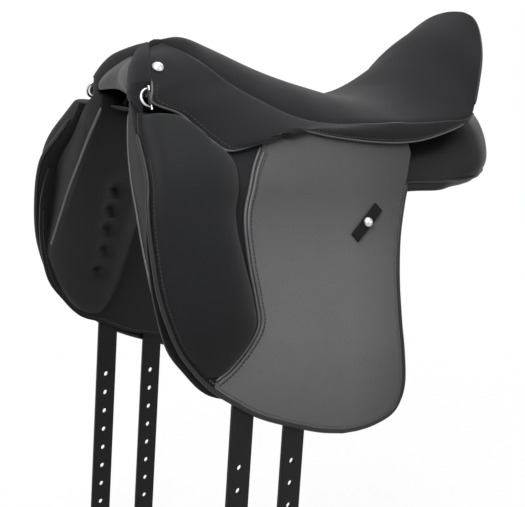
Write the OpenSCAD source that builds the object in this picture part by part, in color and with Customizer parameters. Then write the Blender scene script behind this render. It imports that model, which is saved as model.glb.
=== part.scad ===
// Dressage saddle. Millimetres, +X towards the pommel, +Y towards the near (left) side, +Z up.
// The origin is on the centre line, at the height where the panels bear on the horse's back.

/* [Seat] */
// Seat size, from a pommel stud to the middle of the cantle
seat_length = 445; // [430:1:465]
// Height of the deepest point of the seat above the panels' bearing level
seat_height = 111; // [105:1:120]
// Rise of the pommel above the deepest point
pommel_rise = 55; // [45:1:65]
// Rise of the cantle above the deepest point
cantle_rise = 111; // [95:1:125]
// Half of the seat's greatest width
seat_half = 135; // [128:1:142]
// Radius of the cantle seen from above
cantle_radius = 157; // [150:1:170]
// Thickness of the seat cover
cover_t = 3; // [2:0.5:4]
// Thickness of the seat's foam
pad_t = 19; // [15:1:22]
// Diameter of the seat's welt
welt_d = 4; // [3:0.5:5]

/* [Tree] */
// Thickness of the tree's pan
tree_t = 8; // [6:1:10]
// Half width of the tree's head over its points
head_half = 80; // [76:1:84]
// Rise of the tree's head above the ends of its points
head_rise = 41; // [36:1:42]
// Height of the ends of the points
point_z = 68; // [64:1:72]
// Thickness of the tree's head
head_t = 6; // [4:0.5:8]
// Length of the tree's head along the horse
head_length = 80; // [72:1:86]
// Thickness of the steel gullet plate
plate_t = 4; // [3:0.5:5]
// Length of the gullet plate along the horse
plate_length = 43; // [36:1:50]
// Diameter of the gullet plate's screws
screw_d = 5; // [4:0.5:6]

/* [Skirts] */
// Thickness of the skirt leather
skirt_t = 3.5; // [2.5:0.5:4.5]
// Diameter of the pommel studs
stud_d = 13; // [10:0.5:16]
// Height of the pommel studs
stud_h = 4; // [3:0.5:6]

/* [Flaps] */
// Half of the width over both flaps
side_reach = 189; // [184:1:196]
// Radius of the flaps' curve, seen from the front
side_radius = 650; // [600:10:800]
// Drop of the flaps below the bearing level
flap_drop = 240; // [230:1:255]
// Distance of the flaps' front edge ahead of the origin
flap_front = 322; // [316:1:330]
// Width of a flap from front to rear
flap_w = 290; // [280:1:300]
// Thickness of the flap leather
flap_t = 4; // [3:0.5:5]
// Gap between a flap's top edge and the line that it bends about
flap_top_gap = 1; // [0.5:0.5:3]
// Diameter of the piping round a flap
flap_piping_d = 5; // [4:0.5:6]
// Rise of a thigh block above the flap
block_rise = 28; // [18:1:34]
// Diameter of the piping behind a thigh block
block_piping_d = 4; // [3:0.5:5]
// Length of a keeper
keeper_length = 62; // [50:1:70]
// Width of a keeper
keeper_w = 17; // [14:1:20]
// Thickness of a keeper
keeper_t = 2.5; // [2:0.5:3.5]
// Diameter of a keeper's stud
keeper_stud_d = 11; // [8:0.5:13]

/* [Panels] */
// Width of the channel between the panels
channel_w = 66; // [60:1:74]
// Drop of the knee pad below the bearing level
knee_drop = 188; // [180:1:196]
// Overhang of the panels behind the cantle
panel_overhang = 23; // [15:1:28]
// Depth of the panels' sewn tufts
tuft_depth = 7; // [4:0.5:10]
// Radius of a sewn tuft
tuft_r = 13; // [10:1:18]
// Diameter of the panels' welt
panel_welt_d = 4; // [3:0.5:5]
// Thickness of the sweat flaps
sweat_t = 3.4; // [2.5:0.1:4]

/* [Girth straps] */
// Width of a girth strap
strap_w = 25; // [22:1:28]
// Thickness of a girth strap
strap_t = 4.5; // [3.5:0.5:5]
// Distance of the front straps ahead of the origin
strap_front = 218; // [214:1:224]
// Spacing of the front and rear straps
strap_spacing = 63; // [60:1:68]
// Drop of the strap ends below the bearing level
strap_drop = 470; // [455:1:490]
// Drop of the first hole below the bearing level
first_hole = 268; // [260:1:275]
// Distance between the holes
hole_pitch = 25; // [22:0.5:26]
// Number of holes in a strap
hole_count = 8; // [5:1:8]
// Diameter of the holes
hole_d = 6; // [4:0.5:7]
// Thickness of the webs that carry the straps
web_t = 1.9; // [1.5:0.1:2.2]
// Diameter of the rivets that carry the straps
rivet_d = 5; // [4:0.5:6]

/* [Stirrup bars] */
// Diameter of a stirrup bar
bar_d = 7; // [6:0.5:8]
// Free length of a stirrup bar
bar_length = 48; // [46:1:50]
// Gap between a bar and its plate
bar_gap = 8; // [7:0.5:9]
// Thickness of a bar's plate
bar_plate_t = 2.5; // [2:0.5:3]
// Length of the catch at the end of a bar
catch_length = 12; // [10:1:14]
// Diameter of the catch pin
catch_pin_d = 3; // [2.5:0.5:3.5]

/* [Rings] */
// Inside height of a ring
ring_w = 18; // [15:1:20]
// Diameter of a ring's wire
ring_wire = 3; // [2.5:0.5:3.5]

/* [Clearances] */
// Gap between layers of leather
layer_gap = 0.4; // [0.3:0.05:0.6]
// Gap between the curved layers of the seat
fill_gap = 0.9; // [0.8:0.05:1]
// Room for the straps to slide between the flaps and sweat flaps
strap_room = 1.6; // [1.2:0.1:2]
// Gap round a pin in its bore
pin_gap = 0.12; // [0.05:0.01:0.2]

/* [Hidden] */
$fn = 48;
black = "#232222";
suede = "#2a2928";
grey = "#5f5f5e";
chrome = "#d8d8d8";
steel = "#9a9c9e";
foam = "#d9cf9d";
canvas = "#cfc8b4";

// Helpers for curves

// A smooth step from 0 to 1
function smooth(t) = let (q = min(1, max(0, t))) q * q * (3 - 2 * q);
function mix(a, b, t) = a + (b - a) * t;
function unit(v) = v / norm(v);
// A smooth curve through [position, value] rows, read at one position
function slope(rows, i) = let (a = rows[max(0, i - 1)], b = rows[min(len(rows) - 1, i + 1)])
    (b[1] - a[1]) / (b[0] - a[0]);
function span(rows, x, i = 0) = i >= len(rows) - 2 || x < rows[i + 1][0] ? i : span(rows, x, i + 1);
function at(rows, x) =
    let (i = span(rows, x), a = rows[i], b = rows[i + 1], h = b[0] - a[0])
    let (t = min(1, max(0, (x - a[0]) / h)), s = 1 - t)
    s * s * (1 + 2 * t) * a[1] + t * s * s * h * slope(rows, i)
    + t * t * (1 + 2 * s) * b[1] - t * t * s * h * slope(rows, i + 1);
// A smooth curve through a list of points, read from 0 to 1
function curve(points, t) = at([for (i = [0:len(points) - 1]) [i / (len(points) - 1), points[i]]], t);
// A curve given as [x, z] points from top to bottom, read as x at a height
function flip(points) = [for (i = [len(points) - 1:-1:0]) [points[i][1], points[i][0]]];

// Helpers for grids of points: rows run down or back, columns run to the right, seen from outside

function pick(g, r, c) = g[min(len(g) - 1, max(0, r))][min(len(g[0]) - 1, max(0, c))];
function grid_normal(g, r, c) =
    unit(cross(pick(g, r + 1, c) - pick(g, r - 1, c), pick(g, r, c + 1) - pick(g, r, c - 1)));
function moved(g, d) =
    [for (r = [0:len(g) - 1]) [for (c = [0:len(g[0]) - 1]) g[r][c] + d * grid_normal(g, r, c)]];
function quad(a, b, c, d) = [[a, b, c], [a, c, d]];

// A closed shell between an outer and an inner grid of the same size
module shell(outer, inner) {
    rows = len(outer);
    cols = len(outer[0]);
    size = rows * cols;
    function out(r, c) = r * cols + c;
    function in(r, c) = size + r * cols + c;
    last_r = rows - 1;
    last_c = cols - 1;
    polyhedron(
        [for (g = [outer, inner]) for (row = g) each row],
        concat(
            [for (r = [0:last_r - 1], c = [0:last_c - 1])
                each quad(out(r, c), out(r, c + 1), out(r + 1, c + 1), out(r + 1, c))],
            [for (r = [0:last_r - 1], c = [0:last_c - 1])
                each quad(in(r, c), in(r + 1, c), in(r + 1, c + 1), in(r, c + 1))],
            [for (c = [0:last_c - 1]) each quad(out(0, c), in(0, c), in(0, c + 1), out(0, c + 1))],
            [for (c = [0:last_c - 1])
                each quad(out(last_r, c), out(last_r, c + 1), in(last_r, c + 1), in(last_r, c))],
            [for (r = [0:last_r - 1]) each quad(out(r, 0), out(r + 1, 0), in(r + 1, 0), in(r, 0))],
            [for (r = [0:last_r - 1])
                each quad(out(r, last_c), in(r, last_c), in(r + 1, last_c), out(r + 1, last_c))]
        )
    );
}
// A sheet of one thickness, on the inner side of a grid
module sheet(grid, t) {
    shell(grid, moved(grid, -t));
}
// A solid through closed loops of the same number of points
module loft(loops) {
    rows = len(loops);
    cols = len(loops[0]);
    function id(r, c) = r * cols + c % cols;
    polyhedron(
        [for (loop = loops) each loop],
        concat(
            [for (r = [0:rows - 2], c = [0:cols - 1])
                each quad(id(r, c), id(r, c + 1), id(r + 1, c + 1), id(r + 1, c))],
            [[for (c = [cols - 1:-1:0]) id(0, c)]],
            [[for (c = [0:cols - 1]) id(rows - 1, c)]]
        )
    );
}
// A round cord along a path, with a direction that is never along the path
module cord(path, d, up, sides = 6) {
    last = len(path) - 1;
    loft([for (i = [0:last])
        let (t = unit(path[min(last, i + 1)] - path[max(0, i - 1)]))
        let (u = unit(up - (up * t) * t), b = cross(t, u))
        [for (k = [0:sides - 1]) path[i] + d / 2 * (cos(k * 360 / sides) * u - sin(k * 360 / sides) * b)]]);
}
module right() {
    mirror([0, 1, 0]) children();
}
module both() {
    children();
    right() children();
}
// Lays +Z of its children along a direction
module along(at, dir) {
    d = unit(dir);
    translate(at) rotate([0, acos(d[2]), atan2(d[1], d[0])]) children();
}

// The seat's surface, from the nose (u = 0) to the cantle (u = 1), across from v = -1 to 1

stud_x = 275;
stud_y = 57;
stud_z = seat_height + 23;
cantle_z = seat_height + cantle_rise;
cantle_x = stud_x - sqrt(pow(seat_length, 2) - pow(stud_y, 2) - pow(cantle_z - stud_z, 2));
arc_x = cantle_x + cantle_radius;
nose_x = stud_x - 29;
nose_half = 5;
crown_power = 2.2;
pommel_form = [[0, 0.93], [0.055, 1], [0.12, 0.87], [0.28, 0.47], [0.42, 0.2], [0.56, 0], [1, 0]];
cantle_form = [[0, 0], [0.56, 0], [0.7, 0.13], [0.8, 0.36], [0.91, 0.73], [1, 1]];
width_form = [[0, 0], [0.03, 0.2], [0.06, 0.35], [0.12, 0.47], [0.28, 0.72], [0.38, 0.88], [0.5, 0.97],
    [0.62, 1], [1, 1]];
seam_drop = [[0, 4], [0.025, 12], [0.06, 24], [0.12, 36], [0.2, 42], [0.3, 45], [0.39, 39], [0.485, 28],
    [0.57, 22], [0.71, 34], [0.84, 60], [0.89, 37], [0.945, 22], [0.985, 4], [1, 0]];
function seat_x(u) = mix(nose_x, cantle_x, u);
function seat_u(x) = (x - nose_x) / (cantle_x - nose_x);
function arc_half(x, r) = sqrt(max(1, r * r - pow(min(0, x - arc_x), 2)));
function seat_w(u) =
    min(nose_half + (seat_half - nose_half) * at(width_form, u), arc_half(seat_x(u), cantle_radius));
function ridge_z(u) = seat_height + pommel_rise * at(pommel_form, u) + cantle_rise * at(cantle_form, u);
function seat_z(u, v) = ridge_z(u) - at(seam_drop, u) * pow(abs(v), crown_power);
function seat_point(u, v, down = 0) = [seat_x(u), v * seat_w(u), seat_z(u, v) - down];
// The seat's layers share one grid, so that they nest: each takes some rows, and stops short of the edges
seat_last = 27;
seat_cols = 14;
function seat_row(r) = 0.9985 * (1 - cos(180 * r / seat_last)) / 2;
function seat_grid(first, last, short, down) = [for (r = [first:last]) [for (c = [short:seat_cols - short])
    seat_point(seat_row(r), 1 - 2 * c / seat_cols, down)]];
pan_depth = cover_t + pad_t + fill_gap;
pan_rows = [7, 21];
pan_short = 2;
pan_edge = 1 - 2 * pan_short / seat_cols;
head_rear = nose_x - 70;
pan_u0 = seat_row(pan_rows[0]);
pan_u1 = seat_row(pan_rows[1]);
function pan_under(x, y) = let (u = min(pan_u1, max(pan_u0, seat_u(x))))
    seat_z(u, min(1, y / seat_w(u))) - pan_depth - tree_t;

// The side surface that the flaps lie on; n is the distance outwards from it

side_z = -190;
pinch = 42;
pinch_x = 100;
pinch_run = 200;
pinch_z = 10;
pinch_rise = 70;
function side_y(x, z) = side_reach - side_radius + sqrt(pow(side_radius, 2) - pow(z - side_z, 2))
    - pinch * smooth((x - pinch_x) / pinch_run) * smooth((z - pinch_z) / pinch_rise);
function side_normal(x, z) =
    unit([side_y(x - 1, z) - side_y(x + 1, z), 2, side_y(x, z - 1) - side_y(x, z + 1)]);
function on_side(x, z, n) = [x, side_y(x, z), z] + n * side_normal(x, z);

// The layers on the side surface, from outside to inside
strap_out = -flap_t - strap_room;
web_out = strap_out - strap_t - layer_gap;
sweat_out = web_out - web_t - layer_gap;
panel_out = sweat_out - sweat_t - layer_gap;

// The line that each flap and skirt lobe bends about
bend_front = [300, 102, seat_height - 21];
bend_rear = [0, 159, seat_height - 51];
bend_slope = (bend_front[2] - bend_rear[2]) / bend_front[0];
function bend_z(x) = bend_rear[2] + bend_slope * x;

// The flap's outline: its front and bottom edge from top to bottom, then its rear edge from top to bottom
flap_edge = [for (p = [[-16, 0.36], [-9, 0.2], [0, 0.02], [-1, -0.167], [-8, -0.362], [-25, -0.546],
    [-44, -0.654], [-64, -0.737], [-90, -0.808], [-121, -0.879], [-158, -0.933], [-197, -0.979],
    [-227, -0.998]]) [flap_front + p[0], flap_drop * p[1]]];
flap_heel = [for (p = [[-33, 0.25], [-20, 0.11], [-10, 0], [-1, -0.15], [2, -0.33], [-2, -0.51],
    [-8, -0.646], [-13, -0.79], [-10, -0.887], [2, -0.958], [26, -0.998]])
    [flap_front - flap_w + p[0], flap_drop * p[1]]];
// The piping between the thigh block and the plain leather
block_line = [for (p = [[-139, 0.24], [-119, 0.117], [-105, -0.03], [-106, -0.212], [-113, -0.38],
    [-116, -0.487], [-105, -0.57], [-84, -0.667], [-66, -0.72]]) [flap_front + p[0], flap_drop * p[1]]];
function edge_x(z) = at(flip(flap_edge), z);
function heel_x(z) = at(flip(flap_heel), z);
function line_x(z) = at(flip(block_line), z);
flap_top_front = bend_z(edge_x(bend_front[2])) - flap_top_gap;
flap_top_rear = bend_z(heel_x(bend_rear[2])) - flap_top_gap;
// A row of the flap runs from its front edge to its rear edge, slanted only near the top
function flap_row(z, cols, n) =
    let (fall = (flap_top_front - flap_top_rear) * (1 - smooth((flap_top_front - z) / 120)))
    let (zr = z - fall, xf = edge_x(z), xr = heel_x(zr))
    [for (c = [0:cols - 1]) let (t = c / (cols - 1)) on_side(mix(xf, xr, t), mix(z, zr, t), n)];
flap_rows = 24;
flap_cols = 14;
function flap_grid(n) = [for (r = [0:flap_rows - 1])
    flap_row(min(flap_top_front, curve(flap_edge, r / (flap_rows - 1))[1]), flap_cols, n)];

// Tree and seat

module tree_pan() {
    top = seat_grid(pan_rows[0], pan_rows[1], pan_short, pan_depth);
    under = seat_grid(pan_rows[0], pan_rows[1], pan_short, pan_depth + tree_t);
    color("dimgray") shell(top, under);
}
head_x = head_rear + head_length;
arch_power = 2.3;
arch_steps = 24;
// The arch of the head, seen from the front, drawn in by a distance
function arch(inset) = [for (i = [0:arch_steps])
    let (y = (head_half - inset) * cos(180 * i / arch_steps), w = head_half - inset, h = head_rise - inset)
    [y, point_z + h * pow(max(0, 1 - pow(abs(y) / w, arch_power)), 1 / arch_power)]];
module arch_band(outer, inner, x0, length) {
    translate([x0, 0, 0]) rotate([90, 0, 90]) linear_extrude(length)
        polygon(concat(arch(outer), [for (i = [arch_steps:-1:0]) arch(inner)[i]]));
}
plate_x = head_x - plate_length - 3;
screw_z = point_z + 10;
screw_places = [plate_x + plate_length - 21, plate_x + plate_length - 5];
module screw_holes(d) {
    for (x = screw_places, side = [-1, 1])
        translate([x, side * (head_half - 30), screw_z]) rotate([-90 * side, 0, 0]) cylinder(d = d, h = 60);
}
module tree_head() {
    color("dimgray") difference() {
        arch_band(0, head_t, head_rear, head_length);
        screw_holes(screw_d + 2 * pin_gap);
    }
}
module gullet_plate() {
    color(steel) difference() {
        arch_band(head_t + layer_gap, head_t + layer_gap + plate_t, plate_x, plate_length);
        screw_holes(screw_d + 2 * pin_gap);
    }
}
module gullet_plate_screws() {
    head_h = 2.5;
    reach = head_t + plate_t + 4;
    color(steel) for (x = screw_places, side = [-1, 1])
        translate([x, side * (head_half + layer_gap), screw_z]) rotate([-90 * side, 0, 0]) {
            cylinder(d = 2 * screw_d, h = head_h);
            translate([0, 0, -reach]) cylinder(d = screw_d, h = reach + head_h / 2);
        }
}
module seat_foam() {
    top = seat_grid(4, 24, 1, cover_t + fill_gap);
    under = seat_grid(4, 24, 1, cover_t + pad_t);
    color(foam) shell(top, under);
}
module seat_cover() {
    top = seat_grid(0, seat_last, 0, 0);
    under = seat_grid(0, seat_last, 0, cover_t);
    color(suede) shell(top, under);
}
// The direction away from the seat, square to its edge in plan
function seam_out(u) =
    let (a = seat_point(max(0, u - 0.01), 1), b = seat_point(u + 0.01, 1), t = b - a)
    unit([t[1], -t[0], 0]);
seam_end = 0.838;
function seam_point(u, out, up) = seat_point(u, 1) + out * seam_out(u) + [0, 0, up];
module seat_welt() {
    steps = 34;
    out = welt_d / 2 + layer_gap;
    half = [for (i = [0:steps]) seam_point(seam_end * (1 - i / steps), out, welt_d * 0.65)];
    other = [for (i = [steps:-1:0]) [half[i][0], -half[i][1], half[i][2]]];
    color(black) cord(concat(half, other), welt_d, [0.3, 0, 1]);
}
rim_end = asin(0.78);
facing_t = 3;
facing_low = seat_height - 16;
facing_tuck = 5;
facing_swell = 5;
module cantle_facing() {
    rows = 6;
    cols = 19;
    grid = [for (r = [0:rows - 1]) let (t = r / (rows - 1)) [for (c = [0:cols - 1])
        let (a = rim_end * (1 - 2 * c / (cols - 1)))
        let (radius = cantle_radius - facing_tuck * pow(t, 1.6) + facing_swell * sin(180 * t))
        let (rim = seat_z(seat_u(arc_x - cantle_radius * cos(a)), 1) - cover_t - 3 * fill_gap)
        [arc_x - radius * cos(a), radius * sin(a), mix(rim, facing_low, t)]]];
    color(suede) sheet(grid, facing_t);
}

// Skirts

// The skirt's lower edge along the seat's seam: how far ahead of the seam, and height from the seat
skirt_edge = [[0, [14, 49]], [0.03, [45, 30]], [0.07, [71, 1]], [0.1, [85, -13]], [0.15, [77, -24]],
    [0.2, [75, -45]], [0.25, [77, -57]], [0.32, [65, -47]], [0.38, [57, -34.5]], [0.48, [47, -40]],
    [0.6, [36, -44]], [0.7, [26, -41]], [0.77, [9, -28]], [seam_end, [-3, -10]]];
skirt_spread = [[0, 0.05], [0.03, 0.74], [0.07, 1], [0.1, 1], [1, 1]];
skirt_swell = [[0, 0], [0.08, 4], [0.15, 10], [0.25, 13], [0.32, 11], [0.38, 7], [0.6, 3], [seam_end, 0]];
skirt_lay = skirt_t + 1.5 * fill_gap;
seam_gap = 4.5;
function skirt_high(u) = seam_point(u, seam_gap, -1);
function skirt_low(u) =
    let (e = at(skirt_edge, u), x = seat_x(u) + e[0], z = seat_height + e[1])
    let (y = side_y(x, z) + skirt_lay / side_normal(x, z)[1])
    [x, max(y * at(skirt_spread, u), u < 0.5 ? 0 : skirt_high(u)[1] + 1), z];
function skirt_point(u, t) =
    mix(skirt_high(u), skirt_low(u), t) + [0, at(skirt_swell, u) * 4 * t * (1 - t), 0];
// How far down the skirt its bending line lies
function skirt_bend(u) =
    let (a = skirt_high(u), b = skirt_low(u), drop = a[2] - b[2] + bend_slope * (b[0] - a[0]))
    drop > 1 ? (a[2] - bend_z(a[0])) / drop : 2;
skirt_stop = 0.04;
lobe_start = 0.012;
lobe_u0 = 0.168;
lobe_u1 = 0.324;
module skirt() {
    cols = 32;
    rows = 6;
    grid = [for (r = [0:rows - 1]) [for (c = [0:cols - 1])
        let (u = seam_end * c / (cols - 1), end = min(1, skirt_bend(u) - skirt_stop))
        skirt_point(u, end * r / (rows - 1))]];
    color(suede) sheet(grid, skirt_t);
}
module skirt_lobe() {
    cols = 13;
    rows = 5;
    grid = [for (r = [0:rows - 1]) [for (c = [0:cols - 1])
        let (u = mix(lobe_u0, lobe_u1, c / (cols - 1)), start = skirt_bend(u) + lobe_start)
        skirt_point(u, mix(start, 1, r / (rows - 1)))]];
    color(suede) sheet(grid, skirt_t);
}
stud_u = 0.045;
stud_t = 0.84;
module dome(d, h) {
    rim = 0.8;
    ball = (d * d / 4 + h * h) / (2 * h);
    intersection() {
        cylinder(d = d, h = h + rim);
        translate([0, 0, rim + h - ball]) sphere(r = ball);
    }
}
module pommel_studs() {
    p = skirt_point(stud_u, stud_t);
    out = unit(cross(skirt_point(stud_u, stud_t + 0.05) - p, skirt_point(stud_u + 0.01, stud_t) - p));
    color(chrome) both() along(p + 2 * layer_gap * out, out) dome(stud_d, stud_h);
}

// The front of the pommel, from the skirts' edge down to the gullet
facing_edge = 0.06;
gullet_top = seat_height - 4;
gullet_x = nose_x + 46;
gullet_half = 56;
pommel_inset = 6.6;
module pommel_facing() {
    half_cols = 9;
    rows = 5;
    grid = [for (r = [0:rows - 1]) let (t = r / (rows - 1)) [for (c = [-half_cols:half_cols])
        let (side = c < 0 ? 1 : -1, k = abs(c) / half_cols, edge = skirt_low(facing_edge * k))
        let (high = edge - pommel_inset * [1, min(k, edge[1] / pommel_inset), 1])
        let (low = [gullet_x + 10 * k, gullet_half * k, gullet_top - 5 * k * k])
        let (p = mix(high, low, t) + [9 * sin(180 * t), 0, 0])
        [p[0], (c == 0 ? 0 : side) * p[1], p[2]]]];
    color(grey) sheet(grid, facing_t);
}

// Flaps

module flap() {
    color(grey) shell(flap_grid(0), flap_grid(-flap_t));
}
// The flap's edge as one path, pushed outwards
function flap_path(out, n) =
    let (down = [for (i = [1:30]) curve(flap_edge, i / 30)])
    let (up = [for (i = [20:-1:2]) curve(flap_heel, i / 20)])
    let (path = concat(down, up), last = len(path) - 1)
    [for (i = [0:last])
        let (t = unit(path[min(last, i + 1)] - path[max(0, i - 1)]), p = path[i] + out * [-t[1], t[0]])
        on_side(p[0], p[1], n)];
module flap_piping() {
    color(black) cord(flap_path(flap_piping_d / 2 + layer_gap, -flap_t / 4), flap_piping_d, [0, 1, 0]);
}
block_edge = 3;
block_inset = 8;
// The block's upper edge follows the skirt: share of its width from the front, and height from the seat
block_top = [[0, -27], [0.3, -30], [0.45, -42], [0.6, -56], [0.8, -63], [1, -70]];
module thigh_block() {
    rows = 16;
    cols = 10;
    low = -0.69 * flap_drop;
    function place(s, c) =
        let (z = mix(seat_height + at(block_top, c), low, s))
        [mix(edge_x(z) - block_inset, line_x(z) + block_piping_d + 1, c), z];
    function rise(s, c) = block_edge + (block_rise - block_edge) * (1 - pow(abs(2 * pow(c, 0.85) - 1), 2.6))
        * (1 - pow(abs(2 * pow(s, 0.9) - 1), 3.5));
    function face(full) = [for (r = [0:rows - 1]) [for (c = [0:cols - 1])
        let (s = r / (rows - 1), k = c / (cols - 1), p = place(s, k))
        on_side(p[0], p[1], full ? rise(s, k) : 2.1 * fill_gap)]];
    color(suede) shell(face(true), face(false));
}
module block_piping() {
    steps = 24;
    z0 = 0.19 * flap_drop;
    z1 = -0.715 * flap_drop;
    color(black) cord([for (i = [0:steps]) let (z = mix(z0, z1, i / steps))
        on_side(line_x(z), z, block_piping_d / 2 + layer_gap)], block_piping_d, [0, 1, 0]);
}
keeper_place = [71, -17];
keeper_tilt = 146;
module keeper() {
    function place(a, b) = keeper_place + a * [cos(keeper_tilt), sin(keeper_tilt)]
        + b * [-sin(keeper_tilt), cos(keeper_tilt)];
    function face(n) = [for (r = [0:3]) [for (c = [0:8])
        let (p = place(keeper_length * (c / 8 - 0.5), keeper_w * (r / 3 - 0.5))) on_side(p[0], p[1], n)]];
    color(black) shell(face(layer_gap + keeper_t), face(layer_gap));
}
module keeper_stud() {
    seat = on_side(keeper_place[0], keeper_place[1], keeper_t + 2 * layer_gap);
    color(chrome) along(seat, side_normal(keeper_place[0], keeper_place[1])) dome(keeper_stud_d, stud_h);
}

// Panels and sweat flaps

sweat_edge = [for (p = [[-4, 0.035], [0, -0.08], [0, -0.2], [-5, -0.375], [-18, -0.567], [-38, -0.68],
    [-63, -0.78], [-95, -0.825], [-126, -0.879], [-161, -0.908], [-187, -0.921]])
    [flap_front + p[0], flap_drop * p[1]]];
sweat_heel = [for (p = [[98, 0.035], [96, -0.083], [92, -0.417], [95, -0.75], [112, -0.921]])
    [p[0], flap_drop * p[1]]];
module sweat_flap() {
    rows = 14;
    function grid(n) = [for (r = [0:rows - 1])
        let (p = curve(sweat_edge, r / (rows - 1)), xr = at(flip(sweat_heel), p[1]))
        [for (c = [0:7]) on_side(mix(p[0], xr, c / 7), p[1], n)]];
    color(black) shell(grid(sweat_out), grid(sweat_out - sweat_t));
}
panel_radius = cantle_radius + panel_overhang;
panel_rear = arc_x - panel_radius;
panel_front = flap_front - 5;
// Along the panel: half width of the channel, cap on the top, shoulder height, bearing points and lower end
channel_half = [[-120, 0], [140, 0], [220, 5], [300, 4]];
panel_cap = [[-100, 94], [160, 92], [200, 90], [300, 92]];
panel_shoulder = [[-160, 70], [-60, 66], [60, 50], [170, 44], [300, 44]];
panel_bend = [[-120, [90, 84]], [-60, [92, 82]], [60, [82, 64]], [160, [64, 62]], [300, [62, 62]]];
bearing_high = [[-160, 46], [-60, 36], [60, 32], [180, 58], [300, 84]];
bearing_mid = [[-160, [90, 16]], [-60, [90, 6]], [60, [92, -4]], [180, [100, 2]], [300, [76, -8]]];
panel_low = [[-170, 34], [-120, 14], [-60, 8], [0, 4], [80, -4], [140, -20], [180, -48], [200, -86],
    [208, -0.72 * knee_drop], [218, -0.88 * knee_drop], [234, -knee_drop], [262, -0.98 * knee_drop],
    [285, -0.85 * knee_drop], [305, -0.64 * knee_drop], [320, -0.4 * knee_drop]];
tufts = [[240, -12], [241, -39], [242, -67], [244, -95], [248, -123]];
rear_round = 40;
// The crest on the panel's front, at its upper and its lower end
panel_crest = [panel_front - 21, panel_front - 8];
panel_split = panel_front - 133;
path_steps = 15;
function tuft(x, z) =
    tuft_depth * max([for (p = tufts) exp(-(pow(x - p[0], 2) + pow(z - p[1], 2)) / pow(tuft_r / 1.6, 2))]);
function panel_side(x, z) = side_y(x, z) + (panel_out - layer_gap) / side_normal(x, z)[1];
// The upper and outer face of a panel's section, from the channel to the lower end
function panel_outer(x) =
    let (ch = channel_w / 2 + at(channel_half, x), roof = min(at(panel_cap, x), pan_under(x, ch) - 2))
    let (bend = at(panel_bend, x), zs = at(panel_shoulder, x), zl = at(panel_low, x))
    let (low = min(roof - 2, bend[1], pan_under(x, bend[0]) - 3))
    let (half = [mix(ch, bend[0], 0.5), mix(roof, low, 0.35)])
    let (q = [[ch, roof], half, [bend[0], low], [panel_side(x, zs), zs]])
    concat([for (i = [0:5]) curve(q, i / 6)],
        [for (i = [0:path_steps - 7]) let (z = mix(zs, zl, i / (path_steps - 7))) [panel_side(x, z), z]]);
// The bearing face, from the channel to the lower end
function panel_inner(x) =
    let (ch = channel_w / 2 + at(channel_half, x), zl = at(panel_low, x), mid = at(bearing_mid, x))
    let (a = [ch, at(bearing_high, x)], c = [panel_side(x, zl) - 8, zl + 3])
    [for (i = [0:path_steps - 1])
        let (t = i / (path_steps - 1), p = (1 - t) * (1 - t) * a + 2 * t * (1 - t) * mid + t * t * c)
        [p[0] + tuft(x, p[1]), p[1]]];
function round_off(t) = 1 - sqrt(max(0, 1 - t * t));
function panel_loop(x) =
    let (o = panel_outer(x), i = panel_inner(x), ch = channel_w / 2 + at(channel_half, x))
    let (back = 0.85 * round_off(max(0, (panel_rear + rear_round - x) / rear_round)))
    let (front = [for (k = [0:path_steps - 1]) let (crest = curve(panel_crest, k / (path_steps - 1)))
        0.8 * max(0, (x - crest) / (panel_front - crest))])
    let (full = max([for (p = o) p[0]]), reach = x > arc_x - 90 ? full : arc_half(x, panel_radius))
    let (narrow = min(1, (reach - ch) / (full - ch)))
    let (o2 = [for (k = [0:path_steps - 1]) mix(o[k], i[k], back / 2)])
    let (i2 = [for (k = [0:path_steps - 1]) mix(mix(i[k], o[k], back / 2), o[k], front[k])])
    [for (p = concat(o2, [for (k = [path_steps - 1:-1:0]) i2[k]])) [x, ch + (p[0] - ch) * narrow, p[1]]];
module panel() {
    places = concat(
        [for (d = [5, 8, 14, 23, 35, 52, 76]) panel_rear + d],
        [for (x = [-74:25:panel_split - 20]) x],
        [panel_split - layer_gap / 2]);
    color(black) loft([for (x = places) panel_loop(x)]);
}
module knee_pad() {
    places = concat(
        [panel_split + layer_gap / 2],
        [for (d = [122:-9:14]) panel_front - d],
        [for (d = [8, 3, 0]) panel_front - d]);
    color(black) loft([for (x = places) panel_loop(x)]);
}
module panel_welt() {
    steps = 18;
    rise = 12;
    out = panel_welt_d / 2 + layer_gap;
    color(black) cord([for (i = [0:steps])
        let (x = mix(panel_rear + 60, 5, i / steps), z = at(panel_low, x) + rise)
        [x, min(panel_side(x, z), arc_half(x, panel_radius)) + out, z]], panel_welt_d, [0, 1, 0]);
}
module channel_lining() {
    lining_t = 2;
    rows = 16;
    cols = 5;
    function height(x) = min(at(panel_cap, x), pan_under(x, channel_w / 2) - 1) - 5;
    grid = [for (r = [0:rows - 1]) let (x = mix(nose_x + 40, cantle_x + 20, r / (rows - 1)))
        let (half = channel_w / 2 + at(channel_half, x) - layer_gap)
        [for (c = [0:cols - 1]) [x, half * (1 - 2 * c / (cols - 1)), height(x)]]];
    under = [for (row = grid) [for (p = row) p - [0, 0, lining_t]]];
    color(black) shell(grid, under);
}

// Girth straps

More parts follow.
